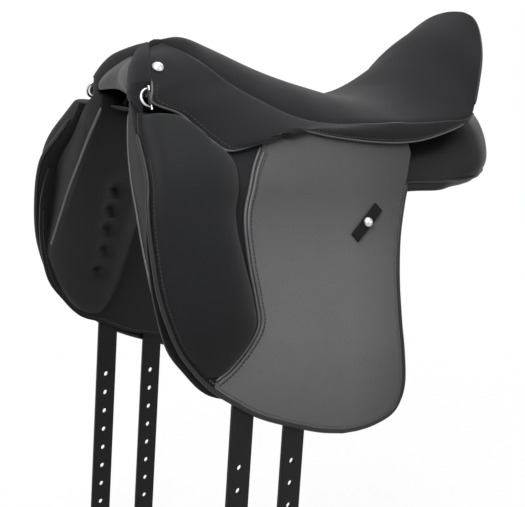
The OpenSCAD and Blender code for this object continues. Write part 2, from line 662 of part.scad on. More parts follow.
pivot_z = -6;
strap_rear = strap_front - strap_spacing;
pivot_lean = asin((pivot_z - side_z) / side_radius);
function pivot_at(x, n) = [x, side_y(x, pivot_z), pivot_z] + n * [0, cos(pivot_lean), sin(pivot_lean)];
module pivot(x, n) {
    translate(pivot_at(x, n)) rotate([pivot_lean - 90, 0, 0]) children();
}
hole_low = first_hole + (hole_count - 1) * hole_pitch;
strap_point = 16;
module strap(x) {
    steps = 24;
    top = pivot_z + strap_w;
    function profile(n) = concat([for (i = [0:steps]) let (z = mix(top, side_z, i / steps))
        [side_reach - side_radius + (side_radius + n) * cos(asin((z - side_z) / side_radius)),
            side_z + (side_radius + n) * (z - side_z) / side_radius]],
        [[side_reach + n, -strap_drop]]);
    outer = profile(strap_out);
    inner = profile(strap_out - strap_t);
    color(black) difference() {
        translate([x - strap_w / 2, 0, 0]) rotate([90, 0, 90])
            linear_extrude(strap_w) polygon(concat(outer, [for (i = [len(inner) - 1:-1:0]) inner[i]]));
        pivot(x, -50) difference() {
            translate([-strap_w, -strap_w * 2, 0]) cube([2 * strap_w, 2 * strap_w, 100]);
            translate([0, 0, -1]) cylinder(d = strap_w, h = 102);
        }
        pivot(x, -50) cylinder(d = rivet_d + 2 * pin_gap, h = 100);
        for (i = [0:hole_count - 1])
            translate([x, side_reach - 60, -first_hole - i * hole_pitch]) rotate([-90, 0, 0])
                cylinder(d = hole_d, h = 100);
        for (side = [-1, 1])
            translate([x + side * strap_w / 2, side_reach - 60, -strap_drop]) rotate([0, side * 35, 0])
                translate([side < 0 ? -strap_w : 0, 0, -strap_w])
                    cube([strap_w, 100, strap_w + strap_point / 2]);
    }
}
module girth_strap_front() {
    strap(strap_front);
}
module girth_strap_rear() {
    strap(strap_rear);
}
web_w = 28;
web_top = 48;
module web(x, tree_end) {
    rows = 12;
    cols = 4;
    function across(c) = x + web_w * (0.5 - c / (cols - 1));
    function face(n) = concat(
        [[for (c = [0:cols - 1]) [across(c), tree_end[0], tree_end[1] + n - web_out]]],
        [for (r = [0:rows - 1]) let (z = mix(web_top, pivot_z - web_w / 2, r / (rows - 1)))
            [for (c = [0:cols - 1]) on_side(across(c), z, n)]]);
    difference() {
        shell(face(web_out), face(web_out - web_t));
        pivot(x, -50) cylinder(d = rivet_d + 2 * pin_gap, h = 100);
    }
}
module girth_webs() {
    pan_y = pan_edge * seat_w(seat_u(strap_rear)) - 6;
    pan_z = min(pan_under(strap_rear - web_w / 2, pan_y), pan_under(strap_rear + web_w / 2, pan_y));
    color(canvas) both() {
        web(strap_front, [head_half - 3, point_z - layer_gap]);
        web(strap_rear, [pan_y, pan_z - layer_gap]);
    }
}
module strap_rivets() {
    head_h = 1;
    length = strap_t + web_t + layer_gap;
    color("peru") both() for (x = [strap_front, strap_rear]) pivot(x, strap_out) {
        translate([0, 0, layer_gap / 2]) cylinder(d = 1.8 * rivet_d, h = head_h);
        translate([0, 0, -length]) cylinder(d = rivet_d, h = length + layer_gap);
    }
}

// Stirrup bars

bar_front = 226;
bar_z = point_z + 18;
bar_base = head_half + layer_gap;
bar_y = bar_base + bar_plate_t + bar_gap + bar_d / 2;
bar_plate_h = 22;
bar_arm = 8;
bar_rear = bar_front - bar_arm - bar_length;
catch_t = bar_d / 2 - pin_gap;
bar_rivet_d = 4;
bar_rivet_places = [bar_rear + 12, bar_front - 14];
pin_x = bar_rear - catch_length / 4;
module bar_rivet_holes(d) {
    for (x = bar_rivet_places)
        translate([x, bar_base - 40, point_z + 6]) rotate([-90, 0, 0]) cylinder(d = d, h = 60);
}
module stirrup_bar() {
    color(steel) difference() {
        union() {
            translate([bar_rear, bar_base, point_z + 1])
                cube([bar_front - bar_rear, bar_plate_t, bar_plate_h]);
            translate([bar_front - bar_arm, bar_base, bar_z - bar_d / 2])
                cube([bar_arm, bar_y - bar_base + bar_d / 2, bar_d]);
            translate([bar_rear - catch_length / 2, bar_y, bar_z]) rotate([0, 90, 0])
                cylinder(d = bar_d, h = bar_front - bar_rear);
        }
        translate([bar_rear - catch_length, bar_y - bar_d, bar_z - bar_d])
            cube([catch_length, bar_d, 2 * bar_d]);
        translate([pin_x, bar_y - bar_d, bar_z]) rotate([-90, 0, 0])
            cylinder(d = catch_pin_d + 2 * pin_gap, h = 2 * bar_d);
        bar_rivet_holes(bar_rivet_d + 2 * pin_gap);
    }
}
module bar_rivets() {
    head_h = 1.6;
    color(steel) both() for (x = bar_rivet_places)
        translate([x, bar_base + bar_plate_t + layer_gap / 2, point_z + 6]) rotate([-90, 0, 0]) {
            cylinder(d = 1.8 * bar_rivet_d, h = head_h);
            translate([0, 0, -bar_plate_t]) cylinder(d = bar_rivet_d, h = bar_plate_t + head_h / 2);
        }
}
module bar_catch() {
    wide = bar_d - 1;
    color(steel) difference() {
        union() {
            translate([pin_x, bar_y - pin_gap, bar_z]) rotate([90, 0, 0]) cylinder(d = wide, h = catch_t);
            translate([pin_x - catch_length, bar_y - pin_gap - catch_t, bar_z - wide / 2])
                cube([catch_length, catch_t, wide]);
        }
        translate([pin_x, bar_y - bar_d, bar_z]) rotate([-90, 0, 0])
            cylinder(d = catch_pin_d + 2 * pin_gap, h = 2 * bar_d);
    }
}
module catch_pins() {
    color(steel) both() translate([pin_x, bar_y - catch_t - pin_gap, bar_z]) rotate([-90, 0, 0])
        cylinder(d = catch_pin_d, h = catch_t + bar_d / 2);
}

// Rings in front of the skirts

ring_place = [289, seat_height - 8];
ring_n = -2.6;
ring_axis = unit([0, side_y(ring_place[0], ring_place[1] + 1) - side_y(ring_place[0], ring_place[1]), 1]);
ring_center = on_side(ring_place[0], ring_place[1], ring_n);
ring_bow = ring_wire - 0.3;
ring_r = ring_w / 2 + ring_bow / 2;
chape_length = 22;
chape_t = 4;
module ring_frame() {
    translate(ring_center) rotate([-atan2(ring_axis[1], ring_axis[2]), 0, 0]) children();
}
module ring() {
    color(chrome) ring_frame() {
        translate([0, 0, -ring_r - ring_wire]) cylinder(d = ring_wire, h = 2 * (ring_r + ring_wire));
        difference() {
            rotate([90, 0, 0]) rotate_extrude() translate([ring_r, 0]) circle(d = ring_bow);
            translate([-2 * ring_r, -ring_r, -2 * ring_r]) cube([2 * ring_r, 2 * ring_r, 4 * ring_r]);
        }
    }
}
module ring_chape() {
    wide = ring_w - 2;
    color(black) ring_frame() difference() {
        union() {
            translate([0, 0, -wide / 2]) cylinder(d = ring_wire + 3, h = wide);
            translate([-chape_length, -chape_t / 2, -wide / 2]) cube([chape_length, chape_t, wide]);
        }
        translate([0, 0, -wide]) cylinder(d = ring_wire + 2 * pin_gap, h = 2 * wide);
    }
}

tree_pan();
tree_head();
gullet_plate();
gullet_plate_screws();
seat_foam();
seat_cover();
seat_welt();
cantle_facing();
pommel_facing();
channel_lining();
pommel_studs();
skirt();  // skirt_left
right() skirt();  // skirt_right
skirt_lobe();  // skirt_lobe_left
right() skirt_lobe();  // skirt_lobe_right
flap();  // flap_left
right() flap();  // flap_right
flap_piping();  // flap_piping_left
right() flap_piping();  // flap_piping_right
thigh_block();  // thigh_block_left
right() thigh_block();  // thigh_block_right
block_piping();  // block_piping_left
right() block_piping();  // block_piping_right
keeper();  // keeper_left
right() keeper();  // keeper_right
keeper_stud();  // keeper_stud_left
right() keeper_stud();  // keeper_stud_right
sweat_flap();  // sweat_flap_left
right() sweat_flap();  // sweat_flap_right
panel();  // panel_left
right() panel();  // panel_right
knee_pad();  // knee_pad_left
right() knee_pad();  // knee_pad_right
panel_welt();  // panel_welt_left
right() panel_welt();  // panel_welt_right
girth_webs();
strap_rivets();
girth_strap_front();  // girth_strap_front_left
right() girth_strap_front();  // girth_strap_front_right
girth_strap_rear();  // girth_strap_rear_left
right() girth_strap_rear();  // girth_strap_rear_right
stirrup_bar();  // stirrup_bar_left
right() stirrup_bar();  // stirrup_bar_right
bar_rivets();
bar_catch();  // bar_catch_left
right() bar_catch();  // bar_catch_right
catch_pins();
ring();  // ring_left
right() ring();  // ring_right
ring_chape();  // ring_chape_left
right() ring_chape();  // ring_chape_right
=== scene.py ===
import math
from bisect import bisect_right

import bmesh
import bpy
import numpy as np
from mathutils import Matrix, Vector


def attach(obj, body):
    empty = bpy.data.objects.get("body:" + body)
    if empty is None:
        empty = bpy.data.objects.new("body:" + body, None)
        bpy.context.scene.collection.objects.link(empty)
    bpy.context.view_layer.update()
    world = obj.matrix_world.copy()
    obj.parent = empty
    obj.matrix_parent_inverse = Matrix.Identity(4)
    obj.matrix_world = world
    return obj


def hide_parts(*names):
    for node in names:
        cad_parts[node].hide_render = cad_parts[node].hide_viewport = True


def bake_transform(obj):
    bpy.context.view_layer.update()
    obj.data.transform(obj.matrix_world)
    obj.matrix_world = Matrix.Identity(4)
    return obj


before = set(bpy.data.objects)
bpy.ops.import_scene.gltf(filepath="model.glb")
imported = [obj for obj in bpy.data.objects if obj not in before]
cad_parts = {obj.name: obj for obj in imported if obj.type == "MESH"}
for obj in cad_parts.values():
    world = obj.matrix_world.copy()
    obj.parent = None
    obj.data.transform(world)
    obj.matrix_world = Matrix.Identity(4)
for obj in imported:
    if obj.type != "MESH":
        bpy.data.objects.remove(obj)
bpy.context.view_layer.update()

MM = 0.001
SIDES = (("left", 1), ("right", -1))


# Curves, in millimetres

def smooth(t):
    q = min(1.0, max(0.0, t))
    return q * q * (3 - 2 * q)


def mix(a, b, t):
    return a + (b - a) * t


def vec(*p):
    return np.array(p, float)


def unit(v):
    v = np.asarray(v, float)
    return v / np.linalg.norm(v)


class Line:
    """A smooth curve through (position, value) rows."""

    def __init__(self, rows):
        last = len(rows) - 1
        self.p = [float(r[0]) for r in rows]
        self.v = np.array([r[1] for r in rows], float)
        near = [(max(0, i - 1), min(last, i + 1)) for i in range(last + 1)]
        self.m = [(self.v[b] - self.v[a]) / (self.p[b] - self.p[a]) for a, b in near]

    def __call__(self, x):
        i = min(max(bisect_right(self.p, x) - 1, 0), len(self.p) - 2)
        h = self.p[i + 1] - self.p[i]
        t = min(1.0, max(0.0, (x - self.p[i]) / h))
        s = 1 - t
        return (s * s * (1 + 2 * t) * self.v[i] + t * s * s * h * self.m[i]
                + t * t * (1 + 2 * s) * self.v[i + 1] - t * t * s * h * self.m[i + 1])


def through(points):
    """A curve from 0 to 1 through evenly spaced points."""
    last = len(points) - 1
    return Line([(i / last, p) for i, p in enumerate(points)])


def by_height(points):
    """A curve that gives x at a height, from (x, z) points."""
    return Line([(p[1], p[0]) for p in reversed(points)])


# The seat's surface

# SEAT_SIZE runs from a pommel stud to the middle of the cantle's rim.
SEAT_H, SEAT_SIZE = 111.0, 445.0
POMMEL_RISE, CANTLE_RISE = 55.0, 111.0
STUD = vec(275.0, 57.0, SEAT_H + 23)
CANTLE_R = 157.0
CANTLE_X = STUD[0] - math.sqrt(SEAT_SIZE ** 2 - STUD[1] ** 2 - (SEAT_H + CANTLE_RISE - STUD[2]) ** 2)
ARC_X = CANTLE_X + CANTLE_R
NOSE_X = STUD[0] - 29
NOSE_HALF, SEAT_HALF = 5.0, 135.0
pommel_form = Line([(0, 0.93), (0.055, 1), (0.12, 0.87), (0.28, 0.47), (0.42, 0.2), (0.56, 0), (1, 0)])
cantle_form = Line([(0, 0), (0.56, 0), (0.7, 0.12), (0.8, 0.37), (0.91, 0.74), (1, 1)])
width_form = Line([(0, 0), (0.03, 0.2), (0.06, 0.35), (0.12, 0.47), (0.28, 0.72), (0.38, 0.88), (0.5, 0.97),
                   (0.62, 1), (1, 1)])
seam_drop = Line([(0, 4), (0.025, 12), (0.06, 24), (0.12, 36), (0.2, 42), (0.3, 45), (0.39, 39), (0.485, 28),
                  (0.57, 22), (0.71, 33), (0.84, 61), (0.89, 38), (0.945, 22), (0.985, 4), (1, 0)])


def seat_x(u):
    return mix(NOSE_X, CANTLE_X, u)


def seat_u(x):
    return (x - NOSE_X) / (CANTLE_X - NOSE_X)


def arc_half(x, r):
    return math.sqrt(max(1.0, r * r - min(0.0, x - ARC_X) ** 2))


def seat_w(u):
    return min(NOSE_HALF + (SEAT_HALF - NOSE_HALF) * width_form(u), arc_half(seat_x(u), CANTLE_R))


def seat_z(u, v):
    """Height at u from nose to cantle, and at v from -1 to 1 across. The rear is a little flatter."""
    ridge = SEAT_H + POMMEL_RISE * pommel_form(u) + CANTLE_RISE * cantle_form(u)
    crown = 2.2 + 0.2 * smooth((u - 0.6) / 0.15)
    return ridge - seam_drop(u) * abs(v) ** crown


def seat_point(u, v, down=0.0):
    return vec(seat_x(u), v * seat_w(u), seat_z(u, v) - down)


# SEAT_LAST is just short of the place where the cantle's arc closes.
SEAT_LAST = 0.9985


def seat_row(t):
    """Places along the seat that crowd towards both ends."""
    return 0.5 * SEAT_LAST * (1 - math.cos(math.pi * t))


# The tree's pan lies under this stretch of the seat, and its underside is PAN_DEEP below the seat.
PAN_FIRST, PAN_LAST, PAN_DEEP = seat_row(7 / 27), seat_row(21 / 27), 30.9


def pan_under(x, y):
    u = min(PAN_LAST, max(PAN_FIRST, seat_u(x)))
    return seat_z(u, min(1.0, y / seat_w(u))) - PAN_DEEP


def seam_out(u):
    t = seat_point(u + 0.01, 1) - seat_point(max(0.0, u - 0.01), 1)
    return unit([t[1], -t[0], 0])


SEAM_END = 0.838


def seam_point(u, out, up):
    return seat_point(u, 1) + out * seam_out(u) + vec(0, 0, up)


# The side surface, and how far outside it each layer's face lies

REACH, RADIUS, SIDE_Z = 189.0, 650.0, -190.0
FLAP_T, STRAP_T, WEB_T, SWEAT_T = 4.0, 4.5, 1.9, 3.4
STRAP_GAP, LAYER_GAP = 1.6, 0.4
STRAP_OUT = -FLAP_T - STRAP_GAP
WEB_OUT = STRAP_OUT - STRAP_T - LAYER_GAP
SWEAT_OUT = WEB_OUT - WEB_T - LAYER_GAP
PANEL_OUT = SWEAT_OUT - SWEAT_T - LAYER_GAP


def side_y(x, z):
    pinch = 42 * smooth((x - 100) / 200) * smooth((z - 10) / 70)
    return REACH - RADIUS + math.sqrt(RADIUS ** 2 - (z - SIDE_Z) ** 2) - pinch


def side_normal(x, z):
    return unit([side_y(x - 1, z) - side_y(x + 1, z), 2, side_y(x, z - 1) - side_y(x, z + 1)])


def on_side(x, z, n):
    return vec(x, side_y(x, z), z) + n * side_normal(x, z)


# The line along which flaps and skirts bend when they are lifted
BEND_A = vec(300.0, 102.0, SEAT_H - 21)
BEND_B = vec(0.0, 159.0, SEAT_H - 51)
BEND_AXIS = unit(BEND_A - BEND_B)
BEND_DOWN = unit(vec(0, 0, -1.0) - BEND_AXIS * -BEND_AXIS[2])


def bend_z(x):
    return BEND_B[2] + (BEND_A[2] - BEND_B[2]) * x / BEND_A[0]


FLAP_DROP, FLAP_FRONT, FLAP_W = 240.0, 322.0, 290.0
flap_edge_pts = [(FLAP_FRONT + a, FLAP_DROP * b) for a, b in (
    (-16, 0.36), (-9, 0.2), (0, 0.02), (-1, -0.167), (-8, -0.362), (-25, -0.546), (-44, -0.654),
    (-64, -0.737), (-90, -0.808), (-121, -0.879), (-158, -0.933), (-197, -0.979), (-227, -0.998))]
flap_heel_pts = [(FLAP_FRONT - FLAP_W + a, FLAP_DROP * b) for a, b in (
    (-33, 0.25), (-20, 0.11), (-10, 0), (-1, -0.15), (2, -0.33), (-1, -0.51), (-6, -0.646), (-10, -0.79),
    (-7, -0.876), (3, -0.94), (26, -0.981), (50, -0.998))]
block_line_pts = [(FLAP_FRONT + a, FLAP_DROP * b) for a, b in (
    (-139, 0.24), (-119, 0.117), (-105, -0.03), (-106, -0.212), (-113, -0.38), (-116, -0.487), (-105, -0.57),
    (-84, -0.667), (-66, -0.72))]
flap_edge, flap_heel = through(flap_edge_pts), through(flap_heel_pts)
edge_x, heel_x, line_x = by_height(flap_edge_pts), by_height(flap_heel_pts), by_height(block_line_pts)
FLAP_TOP_F = bend_z(edge_x(BEND_A[2])) - 1
FLAP_TOP_R = bend_z(heel_x(BEND_B[2])) - 1


# Meshes

def grid_faces(rows, cols, base=0, wrap=False):
    span = cols if wrap else cols - 1
    return [(base + r * cols + c, base + (r + 1) * cols + c, base + (r + 1) * cols + (c + 1) % cols,
             base + r * cols + (c + 1) % cols) for r in range(rows - 1) for c in range(span)]


def grid_of(rows, cols, point):
    """A grid of points: point(s, t) with s down the rows and t across, from 0 to 1."""
    return np.array([[point(r / (rows - 1), c / (cols - 1)) for c in range(cols)] for r in range(rows)])


def smooth_faces(mesh):
    mesh.polygons.foreach_set("use_smooth", [True] * len(mesh.polygons))


def in_scene(name, data):
    obj = bpy.data.objects.new(name, data)
    bpy.context.scene.collection.objects.link(obj)
    return obj


def make_object(name, verts, faces, materials, indices=None):
    mesh = bpy.data.meshes.new(name)
    mesh.from_pydata([tuple(float(k) * MM for k in v) for v in verts], [], [tuple(f) for f in faces])
    for m in materials if isinstance(materials, (list, tuple)) else [materials]:
        mesh.materials.append(m)
    if indices is not None:
        mesh.polygons.foreach_set("material_index", indices)
    bm = bmesh.new()
    bm.from_mesh(mesh)
    bmesh.ops.remove_doubles(bm, verts=bm.verts, dist=1e-6)
    bmesh.ops.recalc_face_normals(bm, faces=bm.faces)
    bm.to_mesh(mesh)
    bm.free()
    smooth_faces(mesh)
    return in_scene(name, mesh)


def rounded(obj, width, segments=3, angle=40):
    """Bevels the edges sharper than an angle, for good."""
    bevel = obj.modifiers.new("round", "BEVEL")
    bevel.width = width * MM
    bevel.segments = segments
    bevel.limit_method = "ANGLE"
    bevel.angle_limit = math.radians(angle)
    bpy.context.view_layer.update()
    graph = bpy.context.evaluated_depsgraph_get()
    mesh = bpy.data.meshes.new_from_object(obj.evaluated_get(graph))
    obj.modifiers.clear()
    old = obj.data
    obj.data = mesh
    bpy.data.meshes.remove(old)
    mesh.name = obj.name
    smooth_faces(mesh)
    return obj


def shell_object(name, outer, inner, materials, pick=None, edge=1.0):
    """A closed sheet between two grids. pick(row, col, outside) gives a face's material index."""
    outer, inner = np.asarray(outer), np.asarray(inner)
    rows, cols = outer.shape[:2]
    size = rows * cols
    verts = np.concatenate([outer.reshape(-1, 3), inner.reshape(-1, 3)])
    faces = grid_faces(rows, cols) + [tuple(reversed(f)) for f in grid_faces(rows, cols, size)]
    places = [(r, c, out) for out in (True, False) for r in range(rows - 1) for c in range(cols - 1)]
    ring = ([(0, c) for c in range(cols)] + [(r, cols - 1) for r in range(1, rows)]
            + [(rows - 1, c) for c in range(cols - 2, -1, -1)] + [(r, 0) for r in range(rows - 2, 0, -1)])
    for i, (r, c) in enumerate(ring):
        r2, c2 = ring[(i + 1) % len(ring)]
        faces.append((r * cols + c, r2 * cols + c2, size + r2 * cols + c2, size + r * cols + c))
        places.append((min(r, rows - 2), min(c, cols - 2), False))
    indices = [pick(*p) for p in places] if pick else None
    obj = make_object(name, verts, faces, materials, indices)
    return rounded(obj, edge) if edge else obj


def grid_normals(grid):
    g = np.asarray(grid, float)
    n = np.cross(np.gradient(g, axis=0), np.gradient(g, axis=1))
    return n / np.maximum(np.linalg.norm(n, axis=2, keepdims=True), 1e-9)


def sheet_object(name, grid, t, material, edge=1.0):
    grid = np.asarray(grid)
    return shell_object(name, grid, grid - t * grid_normals(grid), material, edge=edge)


def tube_data(path, radius, up, sides=8):
    """A round cord along a path, drawn in at both ends."""
    path = np.asarray(path, float)
    last = len(path) - 1
    verts = []
    for i in range(last + 1):
        t = unit(path[min(last, i + 1)] - path[max(0, i - 1)])
        u = np.asarray(up, float)
        u = unit(u - np.dot(u, t) * t)
        b = np.cross(t, u)
        r = radius * (0.55 if i in (0, last) else 1)
        for k in range(sides):
            a = 2 * math.pi * k / sides
            verts.append(path[i] + r * (math.cos(a) * u + math.sin(a) * b))
    faces = grid_faces(last + 1, sides, wrap=True)
    faces.append(tuple(range(sides)))
    faces.append(tuple(last * sides + k for k in reversed(range(sides))))
    return verts, faces


def joined(parts):
    verts, faces = [], []
    for v, f in parts:
        base = len(verts)
        verts += list(v)
        faces += [tuple(base + k for k in g) for g in f]
    return verts, faces


def resample(path, step):
    path = np.asarray(path, float)
    far = np.concatenate([[0], np.cumsum(np.linalg.norm(np.diff(path, axis=0), axis=1))])
    count = max(2, int(round(far[-1] / step)) + 1)
    want = np.linspace(0, far[-1], count)
    return np.stack([np.interp(want, far, path[:, k]) for k in range(path.shape[1])], axis=1)


STITCH_LIFT = 0.15


def stitch_data(path, normals, step=4.6, length=3.4, radius=0.5):
    """A row of separate stitches along a path, each a small rounded bar on the surface."""
    both = resample(np.concatenate([path, normals], axis=1), step)
    parts = []
    for i in range(len(both) - 1):
        a, b = both[i, :3], both[i + 1, :3]
        n = unit(both[i, 3:] + both[i + 1, 3:])
        t = unit(b - a)
        mid = (a + b) / 2 + n * STITCH_LIFT
        side = np.cross(t, n)
        verts = []
        for k, w in ((-0.5, 0.45), (-0.32, 1.0), (0.32, 1.0), (0.5, 0.45)):
            for m in range(6):
                ang = math.pi * 2 * m / 6
                verts.append(mid + t * k * length
                             + radius * w * (math.cos(ang) * n + 1.25 * math.sin(ang) * side))
        faces = grid_faces(4, 6, wrap=True) + [tuple(range(6)), tuple(range(23, 17, -1))]
        parts.append((verts, faces))
    return joined(parts)


def mirrored(obj, name):
    """A copy on the other side of the saddle's middle plane."""
    mesh = obj.data.copy()
    mesh.name = name
    mesh.transform(Matrix.Scale(-1, 4, (0, 1, 0)))
    mesh.flip_normals()
    return in_scene(name, mesh)


def settle(obj, body, nodes=(), bend=None):
    """Gives a finished piece its body, or only bakes its placement if it bends, and hides the solids that it
    stands for.
    """
    if bend:
        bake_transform(obj)
    else:
        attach(obj, body)
    if nodes:
        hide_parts(*nodes)


def bend_span(sign, above, below):
    """Two points, above and below the bend line, between which the leather bends."""
    points = []
    for d in (-above, below):
        p = BEND_B + d * BEND_DOWN
        points.append(tuple(MM * k for k in (p[0], sign * p[1], p[2])))
    return points


def pair(left, body, nodes=(), bend=None):
    """Settles a left piece and its mirror image. {} in names stands for the side."""
    base = left.name
    right = mirrored(left, base + "_right")
    left.name = base + "_left"
    for obj, (side, sign) in zip((left, right), SIDES):
        span = bend_span(sign, *bend) if bend else None
        settle(obj, body.format(side), [n.format(side) for n in nodes], span)


def trim_pair(name, data, material, body, nodes=(), bend=None):
    """A pair of pipings or rows of stitches."""
    pair(make_object(name, *data, material), body, nodes, bend)


# Materials

def new_material(name):
    """A material, its node tree, its shader, and the object's own coordinates."""
    m = bpy.data.materials.new(name)
    m.use_nodes = True
    tree = m.node_tree
    return m, tree, tree.nodes["Principled BSDF"], add_node(tree, "TexCoord").outputs["Object"]


def set_node(node, values):
    """Sets a node's options and inputs. A value that is another node's output is linked."""
    for key, value in values.items():
        if isinstance(value, bpy.types.NodeSocket):
            node.id_data.links.new(value, node.inputs[key])
        elif key in node.inputs:
            node.inputs[key].default_value = value
        else:
            setattr(node, key, value)
    return node


def add_node(tree, kind, **values):
    return set_node(tree.nodes.new("ShaderNode" + kind), values)


def ramp(tree, source, low, high, start=0.3, end=0.7):
    r = add_node(tree, "ValToRGB", Fac=source)
    for e, place, c in zip(r.color_ramp.elements, (start, end), (low, high)):
        e.position = place
        e.color = (c, c, c, 1) if isinstance(c, (int, float)) else (*c, 1)
    return r.outputs["Color"]


def noise(tree, coord, scale, detail, rough):
    n = add_node(tree, "TexNoise", Vector=coord, Scale=scale, Detail=detail, Roughness=rough)
    return n.outputs["Fac"]


def bump(tree, bsdf, layers):
    """Stacks layers of (height, strength, distance in metres) on a shader."""
    before = None
    for height, strength, distance in layers:
        b = add_node(tree, "Bump", Height=height, Strength=strength, Distance=distance)
        if before:
            set_node(b, {"Normal": before})
        before = b.outputs["Normal"]
    set_node(bsdf, {"Normal": before})


def multiplied(tree, first, second):
    blend = add_node(tree, "Mix", data_type="RGBA", blend_type="MULTIPLY", Factor=1)
    return set_node(blend, {6: first, 7: second}).outputs[2]


def combined(tree, operation, first, second):
    node = add_node(tree, "Math", operation=operation)
    return set_node(node, {0: first, 1: second}).outputs[0]


def paint_light_and_shade(material, axis, start, end, levels):
    """Paints light and shade into a material's colour along one axis, from start to end in metres."""
    tree = material.node_tree
    bsdf = tree.nodes["Principled BSDF"]
    parts = add_node(tree, "SeparateXYZ", Vector=add_node(tree, "TexCoord").outputs["Object"])
    span = add_node(tree, "MapRange", **{"From Min": start, "From Max": end, "Value": parts.outputs[axis]})
    shade = ramp(tree, span.outputs["Result"], levels[0][1], levels[-1][1], 0.0, 1.0)
    for place, level in levels[1:-1]:
        shade.node.color_ramp.elements.new(place).color = (level, level, level, 1)
    base = bsdf.inputs["Base Color"].links[0].from_socket
    set_node(bsdf, {"Base Color": multiplied(tree, base, shade)})


def suede(name, dark, light):
    """Napped leather: brushed patches, a fine pile and a soft sheen."""
    m, tree, bsdf, coord = new_material(name)
    patches = noise(tree, coord, 16, 4, 0.6)
    pile = noise(tree, coord, 1500, 2, 0.7)
    tone = ramp(tree, patches, dark, light, 0.3, 0.72)
    grain = ramp(tree, pile, 0.72, 1.0)
    set_node(bsdf, {"Base Color": multiplied(tree, tone, grain), "Roughness": ramp(tree, patches, 0.78, 0.9),
                    "Specular IOR Level": 0.17, "Sheen Weight": 0.06, "Sheen Roughness": 0.45})
    bump(tree, bsdf, [(pile, 0.35, 0.0004), (patches, 0.12, 0.003)])
    return m


def leather(name, dark, light, rough, grain, depth, specular):
    """Smooth leather: a pebbled grain with creases, and uneven shine."""
    m, tree, bsdf, coord = new_material(name)
    cells = add_node(tree, "TexVoronoi", feature="DISTANCE_TO_EDGE", Vector=coord, Scale=grain)
    edges = cells.outputs["Distance"]
    cloud = noise(tree, coord, 22, 4, 0.6)
    pores = noise(tree, coord, 1900, 2, 0.6)
    tone = ramp(tree, cloud, dark, light, 0.32, 0.68)
    creases = ramp(tree, edges, 0.8, 1.0, 0.0, 0.12)
    set_node(bsdf, {"Base Color": multiplied(tree, tone, creases), "Roughness": ramp(tree, cloud, *rough),
                    "Specular IOR Level": specular})
    height = ramp(tree, edges, 0.0, 1.0, 0.0, 0.25)
    bump(tree, bsdf, [(height, depth, 0.0003), (pores, 0.1, 0.0002), (cloud, 0.08, 0.002)])
    return m


def woven(name, dark, light, pitch):
    """Webbing or canvas: two crossed sets of ribs."""
    m, tree, bsdf, coord = new_material(name)
    ribs = [add_node(tree, "TexWave", bands_direction=axis, Vector=coord, Scale=pitch, Distortion=0.4)
            for axis in ("X", "Z")]
    cross = combined(tree, "MAXIMUM", ribs[0].outputs["Fac"], ribs[1].outputs["Fac"])
    set_node(bsdf, {"Base Color": ramp(tree, cross, dark, light, 0.2, 0.9), "Roughness": 0.9,
                    "Specular IOR Level": 0.2})
    fuzz = noise(tree, coord, 900, 2, 0.7)
    bump(tree, bsdf, [(cross, 0.5, 0.0005), (fuzz, 0.2, 0.0002)])
    return m


def metal(name, color, rough, brushed):
    """Plated or brushed metal, with uneven shine."""
    m, tree, bsdf, coord = new_material(name)
    stretch = add_node(tree, "Mapping", Vector=coord, Scale=(40, 900, 900) if brushed else (120, 120, 120))
    n = noise(tree, stretch.outputs["Vector"], 1.0, 3, 0.6)
    set_node(bsdf, {"Base Color": (*color, 1), "Metallic": 1, "Roughness": ramp(tree, n, *rough)})
    bump(tree, bsdf, [(n, 0.12 if brushed else 0.02, 0.0001)])
    return m


def laminate(name):
    """Dark wood in layers, near-black as a lacquered tree; the dark also stands for the shade in the gullet
    under the pommel.
    """
    m, tree, bsdf, coord = new_material(name)
    wave = add_node(tree, "TexWave", bands_direction="Y", Vector=coord, Scale=55.0, Distortion=6.0,
                    Detail=3.0)
    layers = wave.outputs["Fac"]
    set_node(bsdf, {"Base Color": ramp(tree, layers, (0.012, 0.011, 0.01), (0.03, 0.026, 0.022)),
                    "Roughness": 0.55})
    bump(tree, bsdf, [(layers, 0.1, 0.0004)])
    return m


def sponge(name):
    """Open-celled foam."""
    m, tree, bsdf, coord = new_material(name)
    cells = add_node(tree, "TexVoronoi", Vector=coord, Scale=420.0).outputs["Distance"]
    set_node(bsdf, {"Base Color": ramp(tree, cells, (0.42, 0.37, 0.2), (0.8, 0.73, 0.48), 0.05, 0.6),
                    "Roughness": 0.95})
    bump(tree, bsdf, [(cells, 0.6, 0.001)])
    return m


# After its two colours, a leather has its roughness, grain per metre, depth of grain and specular level.
SUEDE = suede("seat_suede", (0.0083, 0.0086, 0.0102), (0.0132, 0.0136, 0.0158))
BLOCK = suede("block_suede", (0.0085, 0.009, 0.0102), (0.0135, 0.0142, 0.016))
# The flap's smooth leather is black; its grey colour is a painted sheen of the light on it.
SHEEN_GREY = leather("grey_leather", (0.101, 0.1, 0.101), (0.111, 0.11, 0.111), (0.44, 0.58), 620.0, 0.18, 0.22)
DARK = leather("dark_leather", (0.0065, 0.0067, 0.007), (0.0095, 0.0095, 0.0097), (0.4, 0.54), 560.0,
               0.2, 0.15)
BLACK = leather("black_leather", (0.008, 0.008, 0.0083), (0.013, 0.013, 0.0134), (0.36, 0.5), 900.0,
                0.2, 0.28)
JET = leather("keeper_leather", (0.002, 0.002, 0.0021), (0.004, 0.004, 0.0042), (0.5, 0.62), 900.0, 0.2, 0.12)
STRAP = leather("strap_leather", (0.004, 0.004, 0.0042), (0.0075, 0.0075, 0.0078), (0.5, 0.64), 700.0,
                0.22, 0.17)
# The piping leather is lighter than the black suede: a painted highlight along the skirts' edges and the
# pommel's rim.
PIPING = leather("piping_leather", (0.036, 0.036, 0.037), (0.056, 0.056, 0.057), (0.3, 0.42), 900.0,
                 0.15, 0.55)
